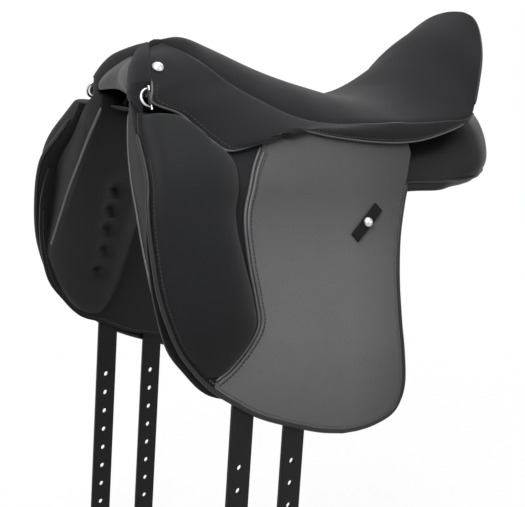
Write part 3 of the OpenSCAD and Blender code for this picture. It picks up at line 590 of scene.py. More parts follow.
# The lining leather is grey: a painted highlight where the pommel's underside faces the light.
LINING = leather("lining_leather", (0.054, 0.054, 0.053), (0.07, 0.07, 0.068), (0.3, 0.4), 700.0, 0.15, 0.15)
# Trim leather is pale grey: a painted highlight on the panel's crest welt and the block's double piping.
TRIM = leather("trim_leather", (0.06, 0.06, 0.0595), (0.09, 0.09, 0.0885), (0.38, 0.5), 900.0, 0.15, 0.45)
THREAD_DARK = woven("dark_thread", (0.02, 0.02, 0.021), (0.06, 0.06, 0.062), 700.0)
THREAD_MID = woven("grey_thread", (0.05, 0.05, 0.05), (0.1, 0.1, 0.1), 700.0)
CANVAS = woven("lining_canvas", (0.01, 0.01, 0.01), (0.03, 0.03, 0.03), 420.0)
WEBBING = woven("strap_webbing", (0.36, 0.33, 0.25), (0.62, 0.58, 0.46), 260.0)
CHROME = metal("chrome_plate", (0.6, 0.6, 0.61), (0.3, 0.38), False)
STEEL = metal("brushed_steel", (0.56, 0.57, 0.58), (0.28, 0.42), True)
BRASS = metal("rivet_brass", (0.72, 0.54, 0.26), (0.22, 0.34), False)
WOOD = laminate("tree_laminate")
FOAM = sponge("seat_sponge")
# Painted light and shade along an axis: (share of the way, level)
# The flap's painted shade darkens its top under the skirt and its rear, with a painted highlight across its
# middle.
paint_light_and_shade(SHEEN_GREY, "Z", -0.26, 0.1, [(0, 0.68), (0.35, 1.02), (0.55, 0.95), (0.76, 0.6), (0.9, 0.66), (1, 0.5)])
paint_light_and_shade(SHEEN_GREY, "X", -0.03, 0.09, [(0, 0.5), (0.4, 0.62), (1, 1.0)])
# The block's painted shade darkens it towards its bottom, which faces down, and lightens its top.
paint_light_and_shade(BLOCK, "Z", -0.22, 0.09, [(0, 0.2), (0.5, 0.8), (1, 1.15)])

# The solids that stay in view
for nodes_named, material in (
        (("tree_pan", "tree_head"), WOOD),
        (("gullet_plate", "gullet_plate_screws", "stirrup_bar_left", "stirrup_bar_right", "bar_rivets",
          "bar_catch_left", "bar_catch_right", "catch_pins"), STEEL),
        (("strap_rivets",), BRASS),
        (("pommel_studs", "keeper_stud_left", "keeper_stud_right", "ring_left", "ring_right"), CHROME)):
    for node in nodes_named:
        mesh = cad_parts[node].data
        mesh.materials.clear()
        mesh.materials.append(material)


# Seat

# The cover's edge rolls down by ROLL_DEEP over ROLL_WIDE. Its nose reaches NOSE_OUT ahead and drops there.
COVER_T, ROLL_WIDE, ROLL_DEEP = 3.0, 9.0, 3.2
NOSE_OUT, NOSE_DROP = 0.036, 5.0
PAD_TOP, PAD_LOW, PAD_EDGE = 3.9, 22.0, 0.78
PAD_FIRST, PAD_LAST = 0.15, 0.885


def seat_rows(first, last, count):
    return [seat_row(mix(first, last, i / (count - 1))) for i in range(count)]


def cover_point(u, k, down):
    """The seat's cover: its last millimetres roll over into the seam."""
    v = math.copysign(1 - (1 - abs(k)) ** 1.35, k)
    near = max(0.0, 1 - (1 - abs(v)) * seat_w(u) / ROLL_WIDE)
    roll = smooth((0.86 - u) / 0.05) * smooth(u / 0.03)
    nose = NOSE_DROP * (min(0.0, u) / NOSE_OUT) ** 4
    return seat_point(u, v, down + ROLL_DEEP * near ** 2.4 * roll + nose)


def seat_grid(us, cols, point, down):
    return np.array([[point(u, 1 - 2 * c / (cols - 1), down) for c in range(cols)] for u in us])


def pad_point(u, k, down):
    return seat_point(u, PAD_EDGE * k, down)


rows = [-NOSE_OUT, -0.034, -0.03, -0.02, -0.01] + seat_rows(0, 1, 110)
faces = [seat_grid(rows, 61, cover_point, down) for down in (0, COVER_T)]
seat = shell_object("seat_cover_suede", *faces, SUEDE)
settle(seat, "saddle", ["seat_cover"])
rows = seat_rows(PAD_FIRST, PAD_LAST, 60)
faces = [seat_grid(rows, 41, pad_point, down) for down in (PAD_TOP, PAD_LOW)]
pad = shell_object("seat_pad_foam", *faces, FOAM, edge=2.0)
settle(pad, "saddle", ["seat_foam"])

WELT_END = 0.83
half = [seam_point(WELT_END * (1 - i / 90), 2.2, -1.4) for i in range(91)]
seam = half + [p * vec(1, -1, 1) for p in reversed(half)]
welt = make_object("seat_seam_welt", *tube_data(seam, 1.3, (0.3, 0, 1)), BLACK)
settle(welt, "saddle", ["seat_welt"])

# The cantle's back curves in by CANTLE_TUCK from its rim down to FACING_LOW.
RIM_END, FACING_END = math.asin(0.78), math.asin(0.83)
FACING_LOW = SEAT_H - 16
CANTLE_TUCK, CANTLE_SWELL, RIM_UNDER = 26.0, 3.0, 3.4


def cantle_point(a, t, out=0.0):
    radius = CANTLE_R - CANTLE_TUCK * t ** 1.6 + CANTLE_SWELL * math.sin(math.pi * t) + out
    rim = seat_z(min(SEAT_LAST, seat_u(ARC_X - CANTLE_R * math.cos(a))), 1) - RIM_UNDER
    return vec(ARC_X - radius * math.cos(a), radius * math.sin(a), mix(rim, FACING_LOW, t))


grid = grid_of(25, 91, lambda s, t: cantle_point(FACING_END * (1 - 2 * t), s))
facing = sheet_object("cantle_back_suede", grid, 3.0, SUEDE)
settle(facing, "saddle", ["cantle_facing"])
rim = [cantle_point(RIM_END * (1 - 2 * c / 90), 0, 0.6) + vec(0, 0, 1.6) for c in range(91)]
rim_welt = make_object("cantle_rim_welt", *tube_data(rim, 1.6, (0, 0, 1)), BLACK)
settle(rim_welt, "saddle")

# Skirts

# The lower edge, from the seam's place: how far ahead, and how far above the seat's height
skirt_edge = Line([(0, (14, 42)), (0.03, (45, 30)), (0.07, (71, 1)), (0.1, (85, -13)), (0.15, (77, -24)),
                   (0.2, (75, -45)), (0.25, (77, -57)), (0.32, (65, -47)), (0.38, (57, -34.5)),
                   (0.48, (47, -40)), (0.6, (36, -44)), (0.7, (26, -41)), (0.77, (9, -28)),
                   (SEAM_END, (-3, -10))])
skirt_spread = Line([(0, 0.05), (0.03, 0.74), (0.07, 1), (0.1, 1), (1, 1)])
skirt_swell = Line([(0, 0), (0.08, 4), (0.15, 10), (0.25, 13), (0.32, 11), (0.38, 7), (0.6, 3),
                    (SEAM_END, 0)])
SKIRT_T = 3.5
SKIRT_LAY = SKIRT_T + 1.35


def skirt_high(u):
    """The upper edge, outside the seam and drawn in to it at the rear end."""
    return seam_point(u, 4.5 - 4 * smooth((u - 0.78) / 0.058), -1)


def skirt_low(u):
    e = skirt_edge(u)
    x, z = seat_x(u) + e[0], SEAT_H + e[1]
    y = (side_y(x, z) + SKIRT_LAY / side_normal(x, z)[1]) * skirt_spread(u)
    return vec(x, max(y, 0 if u < 0.5 else skirt_high(u)[1] + 0.5), z)


def skirt_point(u, t):
    return mix(skirt_high(u), skirt_low(u), t) + vec(0, skirt_swell(u) * 4 * t * (1 - t), 0)


SKIRT_COLS, SKIRT_ROWS = 150, 26
skirt_grid = grid_of(SKIRT_ROWS, SKIRT_COLS, lambda s, t: skirt_point(SEAM_END * t, s))
skirt_normals = grid_normals(skirt_grid)
SKIRT_BEND = (5, 7)
left = sheet_object("skirt_suede", skirt_grid, SKIRT_T, SUEDE)
pair(left, "skirt_lobe_{}", ["skirt_{}", "skirt_lobe_{}"], bend=SKIRT_BEND)
low_edge = (skirt_grid[-1] - skirt_normals[-1] * 0.9 + unit([0, 0.2, -1]) * 0.2)[10:-7]
piping = tube_data(low_edge, 1.5, (0, 1, 0.2))
trim_pair("skirt_edge_piping", piping, PIPING, "skirt_lobe_{}", bend=SKIRT_BEND)

STITCH_IN = 6.0
path, up = [], []
for c in range(12, SKIRT_COLS - 3):
    reach = np.linalg.norm(skirt_grid[-1, c] - skirt_grid[0, c])
    t = 1 - STITCH_IN / max(reach, 2 * STITCH_IN)
    r = t * (SKIRT_ROWS - 1)
    i = int(r)
    path.append(mix(skirt_grid[i, c], skirt_grid[i + 1, c], r - i))
    up.append(mix(skirt_normals[i, c], skirt_normals[i + 1, c], r - i))
trim_pair("skirt_stitches", stitch_data(path, up), THREAD_DARK, "skirt_lobe_{}", bend=SKIRT_BEND)

# Front of the pommel: c runs from -1 on the left over the middle to 1, and on to 2 down the points

HALF_COLS = 30
pommel_rim = through([(276, 0, 140), (280, 7, 137.2), (287, 15.5, 130), (293.5, 29, 120.3), (298, 40, 109.5)])


def sided(p, c):
    """A point of the left side, on the side that c is on."""
    return p * vec(1, 1 if c < 0 else -1, 1)


def pommel_lining(c, t):
    """The lining under the pommel, from its rim down to the gullet."""
    k = abs(c)
    low = vec(292 + 5 * k, 40 * k, 107 - 3 * k * k)
    return sided(mix(pommel_rim(k), low, t) + vec(7 * (1 - k * k) * math.sin(math.pi * t), 0, 0), c)


grid = grid_of(21, 2 * HALF_COLS + 1, lambda s, t: pommel_lining(2 * t - 1, s))
# The lining's grey is a painted highlight under the pommel.
front = sheet_object("pommel_front_leather", grid, 3.0, LINING)
settle(front, "saddle", ["pommel_facing"])

ROLL_RISE = 3.6
pocket_outer = through([(287, 71, 118.7), (289, 66, 108), (292, 66, 98), (293, 68, 86)])
pocket_inner = through([(298, 40, 109.5), (298.5, 40, 103), (296, 40, 97), (290, 40, 91)])


def pommel_roll(c, s):
    """Suede rolled from the skirts' front edge on to the pommel, and down over the tree's points."""
    k = abs(c)
    if k > 1:
        edge, rim = pocket_outer(k - 1), pocket_inner(k - 1)
    else:
        edge, rim = skirt_low(0.06 * k) + vec(0.6, 0.5, 0.3), pommel_rim(k)
        edge[1] *= min(1.0, 8 * k)
        edge[2] += ROLL_RISE * (1 - smooth(k / 0.45))
    swell = mix(3.2, 5.0, smooth(k * 1.6)) * math.sin(math.pi * s) ** 0.8
    return sided(mix(edge, rim, s) + swell * unit([1, 0.5 * k, 0.7 - 0.45 * k]), c)


grid = grid_of(13, 4 * HALF_COLS + 1, lambda s, t: pommel_roll(4 * t - 2, s))
roll = sheet_object("pommel_roll_suede", grid, 2.0, SUEDE, edge=0.6)
settle(roll, "saddle")
across = [c / HALF_COLS for c in range(-HALF_COLS, HALF_COLS + 1)]
rim = [sided(pommel_rim(abs(c)) + vec(1.0, 0, 0.4), c) for c in across]
front_piping = make_object("pommel_front_piping", *tube_data(rim, 1.4, (1, 0, 0.3)), PIPING)
settle(front_piping, "saddle")

# Flaps

FLAP_ROWS, FRONT_COLS, REAR_COLS = 90, 24, 44


def flap_row(z, n):
    """A row from the front edge to the heel, with one column on the block's line."""
    fall = (FLAP_TOP_F - FLAP_TOP_R) * (1 - smooth((FLAP_TOP_F - z) / 120))
    zr = z - fall
    xf, xr = edge_x(z), heel_x(zr)
    t = 0.3
    for _ in range(12):
        t = (xf - min(line_x(mix(z, zr, t)), xf - 1.5)) / (xf - xr)
    stops = [t * c / FRONT_COLS for c in range(FRONT_COLS)]
    stops += [mix(t, 1, c / REAR_COLS) for c in range(REAR_COLS + 1)]
    return [on_side(mix(xf, xr, s), mix(z, zr, s), n) for s in stops]


BAR_REAR, TUCK_UP = 158.0, 9.0


def tucked(grid):
    """Rows that carry the flap up under the skirt, behind the stirrup bar only."""
    rise = np.array([[1.0 + TUCK_UP * smooth((BAR_REAR - p[0]) / 30)] for p in grid[0]])
    extra = [grid[0] + k * rise * vec(0, -0.55, 1) for k in (1.0, 0.75, 0.5, 0.25)]
    return np.concatenate([np.array(extra), grid])


heights = [min(FLAP_TOP_F, flap_edge(r / (FLAP_ROWS - 1))[1]) for r in range(FLAP_ROWS)]
flap_outer = tucked(np.array([flap_row(z, 0.0) for z in heights]))
flap_inner = tucked(np.array([flap_row(z, -FLAP_T) for z in heights]))
FLAP_BEND = (3, 3)
# The flap's outer rear face takes the painted grey sheen; its front, inside and edges take the black suede.
left = shell_object("flap_leather", flap_outer, flap_inner, [SHEEN_GREY, BLOCK],
                    lambda r, c, outside: 0 if outside and c >= FRONT_COLS else 1, edge=0.8)
pair(left, "flap_{}", ["flap_{}"], bend=FLAP_BEND)


def beside(path, out, n):
    """A line on the side surface, out from a path of (x, z) points."""
    last = len(path) - 1
    points = []
    for i, p in enumerate(path):
        t = unit(path[min(last, i + 1)] - path[max(0, i - 1)])
        q = p + out * vec(-t[1], t[0])
        points.append(on_side(q[0], q[1], n))
    return np.array(points)


def flap_path(out, n, first):
    """Round the flap's edge, from a step near its top front down and up the heel."""
    down = [flap_edge(i / 90) for i in range(first, 91)]
    rise = [flap_heel(i / 60) for i in range(59, 5, -1)]
    return beside(np.array(down + rise), out, n)


binding = tube_data(flap_path(1.6, -1.2, 4), 2.7, (0, 1, 0), 10)
trim_pair("flap_edge_binding", binding, BLACK, "flap_{}", ["flap_piping_{}"])


def side_normals(points):
    return np.array([side_normal(p[0], p[2]) for p in points])


# The thread is dark along the block, and grey below it.
path = flap_path(-3.6, 0.0, 8)
turn = next(i for i, q in enumerate(path) if q[2] < -0.7 * FLAP_DROP)
for name, part, thread in (("block_edge_stitches", path[:turn], THREAD_DARK),
                           ("flap_edge_stitches", path[turn:], THREAD_MID)):
    trim_pair(name, stitch_data(part, side_normals(part), 4.2, 3.1, 0.5), thread, "flap_{}")

# Thigh blocks

# The block keeps off the flap's edge in front and off the piped line behind, most at its top.
BLOCK_LOW, BLOCK_RISE, BLOCK_EDGE = -0.69 * FLAP_DROP, 28.0, 1.5
OFF_FRONT, OFF_LINE, OFF_TOP = 4.0, 5.0, 9.0
block_top = Line([(0, -27), (0.3, -30), (0.45, -42), (0.6, -56), (0.78, -65), (0.92, -78), (1, -100)])


def block_place(s, c):
    """Where on the side surface: s from the top down, c from the front edge to the piped line."""
    z = mix(SEAT_H + block_top(c), BLOCK_LOW, s)
    return mix(edge_x(z) - OFF_FRONT, line_x(z) + OFF_LINE + OFF_TOP * (1 - smooth(s / 0.6)), c), z


def block_rise(s, c):
    """How far the block stands out: boldest near its upper front."""
    bold = 1 - smooth((s - 0.2) / 0.4)
    across = 1 - abs(2 * c ** mix(0.85, 0.5, bold) - 1) ** mix(2.6, 4, bold)
    down = 1 - abs(2 * s ** mix(0.9, 0.6, bold) - 1) ** mix(3.5, 6, bold)
    return BLOCK_EDGE + (BLOCK_RISE - BLOCK_EDGE) * (across * down) ** 0.85


def block_face(full):
    def point(s, t):
        c = 0.5 - 0.5 * math.cos(math.pi * t)
        return on_side(*block_place(s, c), block_rise(s, c) if full else 0.3)
    return grid_of(71, 41, point)


left = shell_object("thigh_block_suede", block_face(True), block_face(False), BLOCK, edge=0)
pair(left, "flap_{}", ["thigh_block_{}"])

LINE_TOP, LINE_LOW = 0.235 * FLAP_DROP, -0.715 * FLAP_DROP


def line_path(out, n):
    """Along the piped line behind the block."""
    heights = [mix(LINE_TOP, LINE_LOW, i / 80) for i in range(81)]
    return beside([vec(line_x(z), z) for z in heights], out, n)


# The double piping's pale trim leather is a painted highlight along the piped line.
data = joined([tube_data(line_path(out, 0.9), 1.7, (0, 1, 0)) for out in (2.1, -2.1)])
trim_pair("block_double_piping", data, TRIM, "flap_{}", ["block_piping_{}"])
path = line_path(-5.8, 0.0)
data = stitch_data(path, side_normals(path), 4.2, 3.1, 0.45)
trim_pair("block_line_stitches", data, THREAD_DARK, "flap_{}")

# Keepers

KEEPER_LONG, KEEPER_WIDE, KEEPER_T, KEEPER_ARCH = 47.0, 11.5, 2.2, 0.6
KEEPER, TILT = vec(71.0, -17.0), math.radians(137)
ALONG = vec(math.cos(TILT), math.sin(TILT))
ACROSS = vec(-math.sin(TILT), math.cos(TILT))


def keeper_face(lift):
    def point(s, t):
        p = KEEPER + KEEPER_LONG * (t - 0.5) * ALONG + KEEPER_WIDE * (s - 0.5) * ACROSS
        arch = KEEPER_ARCH * (1 - abs(2 * t - 1) ** 4)
        return on_side(p[0], p[1], 0.2 + (lift + arch if lift else 0))
    return grid_of(9, 41, point)


left = shell_object("keeper_strap", keeper_face(KEEPER_T), keeper_face(0), JET, edge=0.7)
pair(left, "flap_{}", ["keeper_{}"])

# Sweat flaps

SWEAT_ROWS = 70
sweat_edge = through([(FLAP_FRONT + a, FLAP_DROP * b) for a, b in (
    (-4, 0.035), (0, -0.08), (0, -0.2), (-5, -0.375), (-18, -0.567), (-38, -0.68), (-63, -0.78),
    (-95, -0.825), (-126, -0.879), (-161, -0.908), (-187, -0.921))])
sweat_heel = by_height([(a, FLAP_DROP * b) for a, b in (
    (98, 0.035), (96, -0.083), (92, -0.417), (94, -0.7), (100, -0.82), (112, -0.89), (128, -0.921))])


def sweat_grid(n):
    def point(s, t):
        x, z = sweat_edge(s)
        return on_side(mix(x, sweat_heel(z), t), z, n)
    return grid_of(SWEAT_ROWS, 41, point)


SWEAT_IN = SWEAT_OUT - SWEAT_T
left = shell_object("sweat_flap_leather", sweat_grid(SWEAT_OUT), sweat_grid(SWEAT_IN), DARK, edge=0.8)
pair(left, "saddle", ["sweat_flap_{}"])
path = np.array([on_side(*(sweat_edge(i / (SWEAT_ROWS - 1)) + vec(-4, 3)), SWEAT_IN)
                 for i in range(14, SWEAT_ROWS - 1)])
data = stitch_data(path, -side_normals(path), 4.4, 3.2, 0.4)
trim_pair("sweat_flap_stitches", data, THREAD_DARK, "saddle")

# Panels

# CHANNEL is half the channel's width, and KNEE the depth of the knee pads. The lines run along x.
CHANNEL, KNEE = 33.0, 188.0
PANEL_R = CANTLE_R + 23
PANEL_REAR = ARC_X - PANEL_R
PANEL_FRONT = FLAP_FRONT - 12
channel_half = Line([(-120, 0), (140, 0), (220, 5), (300, 4)])
panel_cap = Line([(-100, 108), (-30, 94), (160, 92), (200, 90), (280, 90), (298, 101), (320, 101)])
panel_shoulder = Line([(-160, 72), (-110, 70), (-60, 60), (0, 50), (60, 46), (170, 44), (300, 44)])
panel_bend = Line([(-120, (104, 104)), (-60, (106, 90)), (60, (82, 64)), (160, (64, 62)), (280, (62, 62)),
                   (298, (66, 82)), (320, (66, 82))])
bearing_high = Line([(-160, 46), (-60, 36), (60, 32), (180, 58), (300, 84)])
bearing_mid = Line([(-160, (90, 16)), (-60, (90, 6)), (60, (92, -4)), (180, (100, 2)), (300, (76, -8))])
panel_low = Line([(-175, 22), (-130, 19), (-105, 15), (-60, 11), (0, 9), (80, -2), (140, -20), (180, -48),
                  (200, -86), (208, -0.72 * KNEE), (218, -0.88 * KNEE), (234, -KNEE), (262, -0.98 * KNEE),
                  (285, -0.85 * KNEE), (305, -0.64 * KNEE), (320, -0.4 * KNEE)])
TUFTS = ((252, -14), (252, -39), (250, -64), (247, -92), (250, -121))
TUFT_DEEP, TUFT_X, TUFT_Z = 8.5, 9.0, 7.0
FURROW_DEEP, FURROW_X, FURROW_W = 2.5, 250.0, 15.0


def tuft(x, z):
    """How far the bearing face is drawn in: five deep tufts in a shallow furrow."""
    deep = max(math.exp(-(((x - a) / TUFT_X) ** 2 + ((z - b) / TUFT_Z) ** 2)) for a, b in TUFTS)
    furrow = math.exp(-((x - FURROW_X) / FURROW_W) ** 2) * smooth((z + 140) / 20) * smooth((8 - z) / 20)
    return TUFT_DEEP * deep + FURROW_DEEP * furrow


def panel_side(x, z):
    """The panel's outer face, which swells out behind the flap."""
    full = 7 * smooth((-10 - x) / 60) + 6 * smooth((-70 - x) / 50)
    return side_y(x, z) + full + (PANEL_OUT - LAYER_GAP) / side_normal(x, z)[1]


TOP_STEPS, SIDE_STEPS = 18, 26
STEPS = TOP_STEPS + SIDE_STEPS


def panel_outer(x):
    """Half a section: from the channel over the roof and the shoulder down the side, as (y, z)."""
    ch = CHANNEL + channel_half(x)
    roof = min(panel_cap(x), pan_under(x, ch) - 2)
    bend, zs, zl = panel_bend(x), panel_shoulder(x), panel_low(x)
    low = min(roof - 2, bend[1], pan_under(x, bend[0]) - 3)
    q = through([(ch, roof), (mix(ch, bend[0], 0.5), mix(roof, low, 0.35)), (bend[0], low),
                 (panel_side(x, zs), zs)])
    points = [q(i / TOP_STEPS) for i in range(TOP_STEPS)]
    for i in range(SIDE_STEPS):
        z = mix(zs, zl, i / (SIDE_STEPS - 1))
        points.append(vec(panel_side(x, z), z))
    return np.array(points)


def panel_inner(x):
    """The other half: the bearing face on the horse's back."""
    zl, mid = panel_low(x), bearing_mid(x)
    a = vec(CHANNEL + channel_half(x), bearing_high(x))
    c = vec(panel_side(x, zl) - 8, zl + 3)
    steps = [i / (STEPS - 1) for i in range(STEPS)]
    return np.array([(1 - t) ** 2 * a + 2 * t * (1 - t) * mid + t * t * c for t in steps])


LEAN_BACK = 14.0


def leaned(x, k):
    """The front of the panel leans back towards its top."""
    return x - LEAN_BACK * (1 - k / (STEPS - 1)) ** 3 * smooth((x - 200) / 80)


def round_off(t):
    return 1 - math.sqrt(max(0.0, 1 - t * t))


# The cushion's widest height, its reach above and below with the power of each curve, its core and its end
PILLOW_MID, PILLOW_UP, PILLOW_DOWN = 56.0, (54.0, 2.5), (44.0, 2.0)
PILLOW_CORE, PILLOW_END = 131.0, 46.0


def pillow(x, y, z, inner):
    """The panel's rear, rounded in plan and in height like a stuffed cushion."""
    high, power = PILLOW_UP if z > PILLOW_MID else PILLOW_DOWN
    inner = max(inner, math.sqrt(max(0.0, PILLOW_CORE ** 2 - (x - ARC_X) ** 2)))
    over = max(0.0, (ARC_X - PILLOW_CORE - x) / PILLOW_END)
    swell = max(0.0, 1 - min(1.0, abs(z - PILLOW_MID) / high) ** power) ** (1 / power)
    share = smooth((-30 - x) / 50)
    if y > inner:
        y = mix(y, inner + (y - inner) * swell, share)
    return [x, y, PILLOW_MID + (z - PILLOW_MID) * (1 - over ** power) ** (1 / power)]


def panel_loop(x):
    """The whole section at x, smoothed, tufted and rounded at the panel's ends."""
    o, i = panel_outer(x), panel_inner(x)
    ch = CHANNEL + channel_half(x)
    back = 0.5 * round_off(max(0.0, (PANEL_REAR + 40 - x) / 40))
    front = 0.12 * max(0.0, (x - PANEL_FRONT + 3) / 3)
    full = o[:, 0].max()
    reach = full if x > ARC_X - 90 else arc_half(x, PANEL_R)
    narrow = min(1.0, (reach - ch) / (full - ch))
    inner = mix(mix(i, o, 0.8 * back), o, front)
    loop = np.concatenate([mix(o, i, 0.2 * back), inner[::-1]])
    for turn in range(14):
        loop = 0.5 * loop + 0.25 * (np.roll(loop, 1, axis=0) + np.roll(loop, -1, axis=0))
        if turn == 2:
            firm = loop
    loop = mix(loop, firm, smooth((x - 90) / 90))
    xs = [leaned(x, min(k, 2 * STEPS - 1 - k)) for k in range(2 * STEPS)]
    for k in range(STEPS, 2 * STEPS):
        loop[k, 0] += tuft(xs[k], loop[k, 1])
    return np.array([pillow(xs[k], ch + (p[0] - ch) * narrow, p[1], ch) for k, p in enumerate(loop)])


places = [PANEL_REAR + d for d in (5, 6, 8, 11, 15, 20, 26, 33, 41, 50, 61, 74, 88)]
places += list(np.arange(-82, 190, 8.0)) + list(np.arange(190, PANEL_FRONT - 16, 3.5))
places += [PANEL_FRONT - d for d in (14, 10, 6, 3, 0)]
loops = np.array([panel_loop(x) for x in places])
count = 2 * STEPS
verts = loops.reshape(-1, 3)
faces = grid_faces(len(places), count, wrap=True)
for ring in (0, len(places) - 1):
    base = ring * count
    faces += [(base + k, base + k + 1, base + count - 2 - k, base + count - 1 - k) for k in range(STEPS - 1)]
left = make_object("panel_leather", verts, faces, DARK)
left = rounded(left, 3.0, 4, 38)
pair(left, "saddle", ["panel_{}", "knee_pad_{}"])

GUSSET_UP = 13.0
path = []
for i in range(60):
    loop = panel_loop(mix(PANEL_REAR + 16, 8, i / 59))[:STEPS]
    k = int(np.argmin(np.abs(loop[TOP_STEPS:, 2] - panel_low(loop[0, 0]) - GUSSET_UP))) + TOP_STEPS
    path.append(loop[k] + vec(0, 0.4, 0))
path = [np.mean(path[max(0, i - 3):i + 4], axis=0) for i in range(60)]
trim_pair("panel_gusset_welt", tube_data(path, 1.8, (0, 1, 0)), BLACK, "saddle", ["panel_welt_{}"])

# The crest welt's pale trim leather is a painted highlight along the panel's front crest.
path = [p + vec(-0.6, 0, 0) for p in panel_loop(PANEL_FRONT)[2 * STEPS - 2:STEPS + 2:-1]]
trim_pair("panel_crest_welt", tube_data(path, 1.7, (1, 0, 0)), TRIM, "saddle")

# Lining of the channel

def lining_grid(down):
    def point(s, t):
        x = mix(NOSE_X + 40, CANTLE_X + 20, s)
        wide = CHANNEL + channel_half(x) - LAYER_GAP
        z = min(panel_cap(x), pan_under(x, CHANNEL) - 1) - 5 - down
        return vec(x, wide * (1 - 2 * t), z + 1.2 * math.cos(math.pi * (t - 0.5)))
    return grid_of(50, 21, point)


lining = shell_object("channel_canvas", lining_grid(1.0), lining_grid(3.0), CANVAS, edge=0.5)
settle(lining, "saddle", ["channel_lining"])

# Girth straps and their webs

# Straps hang from PIVOT_Z, straight down below SIDE_Z. A strap's length is measured from its pivot.
PIVOT_Z, STRAP_W = -6.0, 25.0
STRAPS = (("front", 218.0), ("rear", 155.0))
SLANT = math.asin((PIVOT_Z - SIDE_Z) / RADIUS)
FIRST_HOLE, HOLE_PITCH, HOLES, STRAP_END = 268.0, 25.0, 8, 470.0
HOLE_W, HOLE_H = 3.0, 3.4


def strap_at(x0, s, t, n):
    angle = SLANT - s / RADIUS
    if angle > 0:
        y = REACH - RADIUS + (RADIUS + n) * math.cos(angle)
        return vec(x0 + t, y, SIDE_Z + (RADIUS + n) * math.sin(angle))
    return vec(x0 + t, REACH + n, SIDE_Z - (s - RADIUS * SLANT))


def strap_s(drop):
    """The length along a strap at a depth below the frame's origin."""
    return RADIUS * SLANT + SIDE_Z + drop


def strap_object(name, x0):
    """A strap: a round head, rows down to the holes, a ring of faces round each hole, and a narrowed tip."""
    half, ring = STRAP_W / 2, 24
    cross = [half * math.tan(math.radians(45 - 15 * k)) for k in range(7)]
    top = strap_s(FIRST_HOLE - HOLE_PITCH / 2)
    start, tip = strap_s(FIRST_HOLE + (HOLES - 0.5) * HOLE_PITCH), strap_s(STRAP_END)
    flat, quads = [], []

    def vert(s, t):
        flat.append((s, t))
        return len(flat) - 1

    def ladder(places):
        rows = [[vert(s, t * wide) for t in cross] for s, wide in places]
        for a, b in zip(rows, rows[1:]):
            quads.extend((a[k], a[k + 1], b[k + 1], b[k]) for k in range(6))

    angles = [math.radians(a) for a in range(4, 91, 8)]
    head = [(-half * math.cos(a), max(0.02, math.sin(a))) for a in angles]
    ladder(head + [(top * i / 40, 1) for i in range(1, 41)])
    for h in range(HOLES):
        mid = strap_s(FIRST_HOLE + h * HOLE_PITCH)
        outer, inner = [], []
        for k in range(ring):
            a = 2 * math.pi * k / ring
            ca, sa = math.cos(a), math.sin(a)
            far = half / max(abs(ca), abs(sa))
            outer.append(vert(mid + far * ca, far * sa))
            inner.append(vert(mid + HOLE_H * ca, HOLE_W * sa))
        quads += [(outer[k - 1], outer[k], inner[k], inner[k - 1]) for k in range(ring)]
    ladder([(start, 1), (mix(start, tip, 0.5), 1), (mix(start, tip, 0.8), 0.84), (tip - 0.8, 0.58),
            (tip, 0.5)])
    bm = bmesh.new()
    points = [bm.verts.new((s, t, 0)) for s, t in flat]
    for q in quads:
        bm.faces.new([points[k] for k in q])
    bmesh.ops.remove_doubles(bm, verts=bm.verts, dist=0.01)
    bmesh.ops.recalc_face_normals(bm, faces=bm.faces)
    grown = bmesh.ops.extrude_face_region(bm, geom=list(bm.faces))
    moved = {v for v in grown["geom"] if isinstance(v, bmesh.types.BMVert)}
    for v in bm.verts:
        n = STRAP_OUT - (STRAP_T if v in moved else 0)
        v.co = Vector(strap_at(x0, v.co.x, v.co.y, n) * MM)
    bmesh.ops.recalc_face_normals(bm, faces=bm.faces)
    mesh = bpy.data.meshes.new(name)
    bm.to_mesh(mesh)
    bm.free()
    mesh.materials.append(STRAP)
    return rounded(in_scene(name, mesh), 0.7, 2, 50)


for place, x0 in STRAPS:
    left = strap_object(f"girth_strap_{place}_leather", x0)
    pair(left, f"girth_strap_{place}_{{}}", [f"girth_strap_{place}_{{}}"])

# A web runs from its upper end, on the tree's head in front and under the pan behind, down the side.
WEB_W, WEB_TOP, WEB_LOW = 28.0, 48.0, -20.0
HEAD_END = (77.0, 67.6)
PAN_SHARE, PAN_INSET = 10 / 14, 6.0


def pan_end(x0):
    """Where a rear web meets the pan's underside, inside its edge."""
    y = PAN_SHARE * seat_w(seat_u(x0)) - PAN_INSET
    return y, min(pan_under(x0 - WEB_W / 2, y), pan_under(x0 + WEB_W / 2, y)) - LAYER_GAP


def web_face(x0, end, n):
    xs = [x0 + WEB_W * (0.5 - c / 10) for c in range(11)]
    grid = [[vec(x, end[0], end[1] + n - WEB_OUT) for x in xs]]
    return grid + [[on_side(x, mix(WEB_TOP, WEB_LOW, r / 29), n) for x in xs] for r in range(30)]


web_parts = []
for place, x0 in STRAPS:
    end = HEAD_END if place == "front" else pan_end(x0)
    faces = [web_face(x0, end, n) for n in (WEB_OUT, WEB_OUT - WEB_T)]
    web = shell_object("web_" + place, *faces, WEBBING, edge=0.4)
    web_parts += [web, mirrored(web, web.name + "_twin")]
bm = bmesh.new()
for part in web_parts:
    bm.from_mesh(part.data)
mesh = bpy.data.meshes.new("girth_webbing")
bm.to_mesh(mesh)
bm.free()
mesh.materials.append(WEBBING)
for part in web_parts:
    bpy.data.objects.remove(part)
smooth_faces(mesh)
settle(in_scene("girth_webbing", mesh), "saddle", ["girth_webs"])

# Loops that hold the rings

RING_X, RING_Z, CHAPE_R, CHAPE_HALF = 289.0, SEAT_H - 8, 3.0, 8.0
ring_axis = unit([0, side_y(RING_X, RING_Z + 1) - side_y(RING_X, RING_Z), 1])
ring_mid = on_side(RING_X, RING_Z, -2.6)
ring_out = unit(np.cross(ring_axis, [1, 0, 0]))


